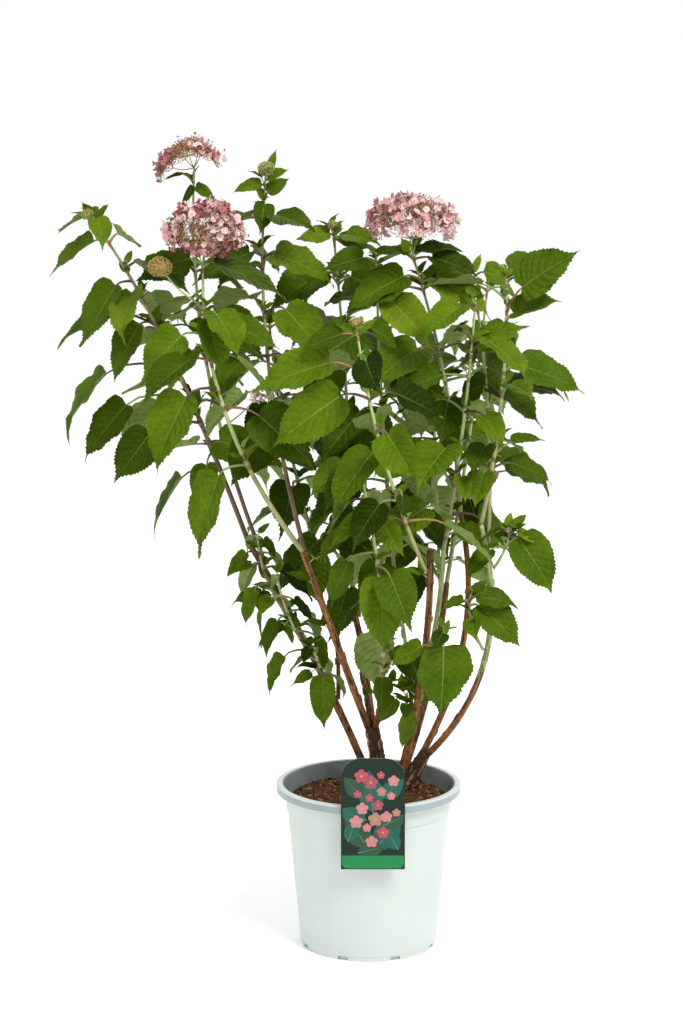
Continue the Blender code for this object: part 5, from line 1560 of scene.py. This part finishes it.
for cut in slot_cuts:
    bpy.data.objects.remove(cut)
pot.data.set_sharp_from_angle(angle=math.radians(40.0))
rim_slot = len(pot.data.materials)
pot.data.materials.append(rim_finish.material)
pot.data.materials.append(inner_finish.material)
for face in pot.data.polygons:
    radius = math.hypot(face.center.x, face.center.y)
    inward = face.normal.x * face.center.x + face.normal.y * face.center.y < 0.0
    if SKIRT_LOW < face.center.z < SKIRT_HIGH and radius > SKIRT_RADIUS:
        face.material_index = rim_slot
    elif inward and face.center.z > POT_FLOOR and radius < MOUTH_RADIUS:
        face.material_index = rim_slot + 1
settle(pot, "pot", "pot")
print("pot", len(pot.data.polygons), "faces")

# %% [markdown]
# Potting mix is shredded bark, peat and fibre. A lumpy disc fills the pot and a few hundred
# crumbs, chips and fibres lie on it.

# %% Potting mix
SOIL_RADIUS = 0.0985
soil = Piece()
soil_draw = random.Random(8)
RINGS, SPOKES = 26, 72


def soil_height(x, y):
    """The lumpy surface of the mix, which settles a little at the wall."""
    radius = math.hypot(x, y)
    lumps = 0.0022 * noise.noise(Vector((x, y, 0.0)) * 70.0)
    lumps += 0.0013 * noise.noise(Vector((x, y, 0.3)) * 210.0)
    return SOIL_TOP - 0.0022 + lumps - 0.004 * max(0.0, radius / SOIL_RADIUS - 0.85) / 0.15


surface = [(0.0, 0.0, soil_height(0.0, 0.0))]
for ring in range(1, RINGS + 1):
    for spoke in range(SPOKES):
        angle = 2 * math.pi * spoke / SPOKES
        x = SOIL_RADIUS * ring / RINGS * math.cos(angle)
        y = SOIL_RADIUS * ring / RINGS * math.sin(angle)
        surface.append((x, y, soil_height(x, y)))
middle_faces = [(0, 1 + spoke, 1 + (spoke + 1) % SPOKES) for spoke in range(SPOKES)]
ring_faces = []
for ring in range(RINGS - 1):
    for spoke in range(SPOKES):
        beside = (spoke + 1) % SPOKES
        near = 1 + ring * SPOKES
        ring_faces.append((near + spoke, near + SPOKES + spoke, near + SPOKES + beside, near + beside))
soil.add(np.array(surface), middle_faces, shades["mix_brown"])
soil.add(np.array(surface), ring_faces, shades["mix_brown"])
for _ in range(900):
    angle = soil_draw.uniform(0.0, 2 * math.pi)
    radius = SOIL_RADIUS * 0.97 * math.sqrt(soil_draw.random())
    x, y = radius * math.cos(angle), radius * math.sin(angle)
    size = soil_draw.uniform(0.0009, 0.0034)
    spin = np.array(Matrix.Rotation(soil_draw.uniform(0.0, math.pi), 3, Vector((0.3, 0.2, 1.0))))
    squeeze = np.array((1.0, soil_draw.uniform(0.4, 0.9), soil_draw.uniform(0.25, 0.6))) * size
    crumb = (BEAD_POINTS * squeeze) @ spin.T + np.array((x, y, soil_height(x, y) + size * 0.15))
    tone = soil_draw.choice(("mix_brown", "mix_brown", "mix_black", "mix_pale"))
    soil.add(crumb, BEAD_FACES, shades[tone])
for _ in range(260):
    angle = soil_draw.uniform(0.0, 2 * math.pi)
    radius = SOIL_RADIUS * 0.93 * math.sqrt(soil_draw.random())
    x, y = radius * math.cos(angle), radius * math.sin(angle)
    turn_by = soil_draw.uniform(0.0, 2 * math.pi)
    reach = soil_draw.uniform(0.003, 0.010)
    fibre = []
    for step in (-0.5, 0.0, 0.5):
        fx = x + math.cos(turn_by + step) * reach * step
        fy = y + math.sin(turn_by + step) * reach * step
        fibre.append((fx, fy, soil_height(fx, fy) + soil_draw.uniform(0.0004, 0.0016)))
    soil.add_tube(fibre, [0.0003, 0.0004, 0.0002], 4, shades[soil_draw.choice(("mix_pale", "mix_brown"))])
settle(soil.make("potting_mix"), "soil", "soil")

# %% [markdown]
# The plant label is a printed card that hooks over the rim. This one has a design of its own: a
# dark green ground, large teal leaves with paler midribs, plain pink five-petalled flowers and a
# blank bright green band along its foot. Every print colour is a thin sheet just proud of the card.

# %% Label finishes
CARD_SHINE = {"Specular IOR Level": 0.18}
for name, colour in {
    "card_ground": (0.006, 0.018, 0.010), "card_teal": (0.012, 0.085, 0.058),
    "card_sea": (0.020, 0.060, 0.030), "card_mint": (0.055, 0.180, 0.125),
    "card_pink": (0.330, 0.055, 0.085), "card_blush": (0.400, 0.150, 0.160),
    "card_rose": (0.270, 0.060, 0.080), "card_dusty": (0.300, 0.150, 0.110),
    "card_band": (0.010, 0.165, 0.050), "card_yellow": (0.400, 0.280, 0.070),
    "card_back": (0.450, 0.460, 0.450),
}.items():
    mottled(name, colour, tuple(1.08 * value for value in colour), 0.34, 0.020, 0.00002, CARD_SHINE)

# %% Label
LABEL_WIDTH, LABEL_BOTTOM, LABEL_TOP, LABEL_CORNER = 0.076, 0.126, 0.262, 0.024
LABEL_THICKNESS, LABEL_X, BAND_HEIGHT = 0.0008, 0.004, 0.017
LIP_RADIUS = 0.113
CARD_FRONT = -(LIP_RADIUS + SEAT_GAP + LABEL_THICKNESS)
PRINT_STEP = 0.00004
card = Piece()


def half_card(height, inset):
    """Half the card's width at a height: it narrows in a round corner at the top."""
    below = LABEL_TOP - inset - height
    corner = LABEL_CORNER - inset
    if below >= corner:
        return LABEL_WIDTH / 2 - inset
    return LABEL_WIDTH / 2 - inset - corner + math.sqrt(max(0.0, corner ** 2 - (corner - below) ** 2))


def in_card(x, z, inset=0.002, lowest=LABEL_BOTTOM + BAND_HEIGHT):
    """The nearest place to (x, z) that lies inside the card's printed field."""
    z = min(max(z, lowest), LABEL_TOP - inset - 0.0002)
    half = half_card(z, inset)
    return min(max(x, -half), half), z


def add_print(outline, layer, tone):
    """A flat printed shape, as a fan round its middle, on a layer just in front of the card."""
    y = CARD_FRONT - layer * PRINT_STEP
    middle = [sum(point[axis] for point in outline) / len(outline) for axis in range(2)]
    points = [(LABEL_X + middle[0], y, middle[1])] + [(LABEL_X + x, y, z) for x, z in outline]
    count = len(outline)
    card.add(np.array(points), [(0, 1 + n, 1 + (n + 1) % count) for n in range(count)], shades[tone])


def leaf_print(x, z, angle, length, layer, tone, rib):
    """A pointed leaf and its midrib, kept inside the card."""
    way = (math.cos(math.radians(angle)), math.sin(math.radians(angle)))
    sides = []
    for step in range(9):
        share = step / 8
        sides.append((share, 0.30 * length * math.sin(math.pi * share ** 0.8)))
    outline = [(share * length, half) for share, half in sides]
    outline += [(share * length, -half) for share, half in sides[-2:0:-1]]
    place = [(x + u * way[0] - v * way[1], z + u * way[1] + v * way[0]) for u, v in outline]
    add_print([in_card(*point) for point in place], layer, tone)
    vein = [(0.0, 0.0006), (0.9 * length, 0.0), (0.0, -0.0006)]
    place = [(x + u * way[0] - v * way[1], z + u * way[1] + v * way[0]) for u, v in vein]
    add_print([in_card(*point) for point in place], layer + 1, rib)


def flower_print(x, z, size, layer, tone):
    """Five round petals and a yellow eye."""
    for petal in range(5):
        angle = math.pi / 2 + 2 * math.pi * petal / 5
        middle = (x + 0.55 * size * math.cos(angle), z + 0.55 * size * math.sin(angle))
        ring = [(middle[0] + 0.42 * size * math.cos(a), middle[1] + 0.42 * size * math.sin(a))
                for a in np.linspace(0.0, 2 * math.pi, 13)[:-1]]
        add_print([in_card(*point) for point in ring], layer + 0.2 * petal, tone)
    eye = [(x + 0.16 * size * math.cos(a), z + 0.16 * size * math.sin(a))
           for a in np.linspace(0.0, 2 * math.pi, 9)[:-1]]
    add_print([in_card(*point) for point in eye], layer + 1.2, "card_yellow")


heights = [LABEL_BOTTOM]
heights += [LABEL_TOP - LABEL_CORNER * (1 - math.sin(math.pi / 2 * step / 10)) for step in range(11)]
for tone, y, order in (("card_back", CARD_FRONT + LABEL_THICKNESS, -1), ("card_ground", CARD_FRONT, 1)):
    rows = [((LABEL_X - half_card(z, 0.0), y, z), (LABEL_X + half_card(z, 0.0), y, z)) for z in heights]
    faces = [(2 * n, 2 * n + 1, 2 * n + 3, 2 * n + 2)[::order] for n in range(len(heights) - 1)]
    card.add(np.array(rows), faces, shades[tone])
edge = [(half_card(z, 0.0), z) for z in heights]
edge += [(-x, z) for x, z in reversed(edge)]
rim = [(LABEL_X + x, y, z) for x, z in edge for y in (CARD_FRONT, CARD_FRONT + LABEL_THICKNESS)]
count = len(edge)
card.add(np.array(rim), [(2 * n, 2 * n + 1, (2 * n + 3) % (2 * count), (2 * n + 2) % (2 * count))
                         for n in range(count)], shades["card_back"])
PRINTED_LEAVES = (
    (0.004, 0.150, 58, 0.052, "card_teal"), (-0.006, 0.152, 122, 0.050, "card_sea"),
    (0.012, 0.180, 22, 0.032, "card_sea"), (-0.008, 0.186, 158, 0.036, "card_teal"),
    (0.000, 0.196, 96, 0.052, "card_teal"), (-0.018, 0.146, 14, 0.034, "card_sea"),
    (0.010, 0.214, 40, 0.036, "card_teal"), (-0.012, 0.214, 132, 0.034, "card_sea"),
    (0.030, 0.150, 118, 0.030, "card_teal"), (-0.030, 0.160, 70, 0.030, "card_teal"))
for number, (x, z, angle, length, tone) in enumerate(PRINTED_LEAVES):
    leaf_print(x, z, angle, length, 1 + 2 * number, tone, "card_mint")
print_draw = random.Random(12)
FIRST_FLOWER_LAYER = 24
for number in range(17):
    around = GOLDEN_ANGLE * number
    reach = 0.0085 * math.sqrt(number + 0.3)
    x = 0.002 + 0.85 * reach * math.cos(around)
    z = 0.205 + 1.35 * reach * math.sin(around)
    size = print_draw.uniform(0.0050, 0.0092)
    tone = print_draw.choice(("card_pink", "card_blush", "card_rose", "card_dusty"))
    flower_print(x, z, size, FIRST_FLOWER_LAYER + number, tone)
band = LABEL_BOTTOM + BAND_HEIGHT
inner = LABEL_WIDTH / 2 - 0.0012
BAND_CORNER = 0.006
corner_steps = [math.pi / 2 * step / 6 for step in range(7)]
foot_of_band = [(inner - BAND_CORNER * (1 - math.cos(a)), LABEL_BOTTOM + 0.0012 + BAND_CORNER * (1 - math.sin(a)))
                for a in corner_steps]
foot_of_band = [(-x, z) for x, z in reversed(foot_of_band)][::1] + foot_of_band[::-1]
outline = [(x, z) for x, z in foot_of_band] + [(inner, band), (-inner, band)]
add_print(sorted(set(outline), key=lambda spot: math.atan2(spot[1] - band + 0.008, spot[0])), 2, "card_band")
STRAP_HALF, STRAP_TOP, STRAP_FOOT, STRAP_INSIDE = 0.0070, 0.2040, 0.1920, -0.0986
thick = LABEL_THICKNESS
strap = ((CARD_FRONT + thick, STRAP_TOP), (STRAP_INSIDE, STRAP_TOP), (STRAP_INSIDE, STRAP_FOOT),
         (STRAP_INSIDE - thick, STRAP_FOOT), (STRAP_INSIDE - thick, STRAP_TOP - thick),
         (CARD_FRONT + thick, STRAP_TOP - thick))
strap_points = [(LABEL_X + side * STRAP_HALF, y, z) for side in (-1, 1) for y, z in strap]
count = len(strap)
card.add(np.array(strap_points), [(n, (n + 1) % count, (n + 1) % count + count, n + count)
                                  for n in range(count)], shades["card_back"])
card.add(np.array(strap_points), [(0, 5, 4, 1), (1, 4, 3, 2), (6, 7, 10, 11), (7, 8, 9, 10)],
         shades["card_back"])
settle(card.make("plant_label", smooth=False), "label", "label")
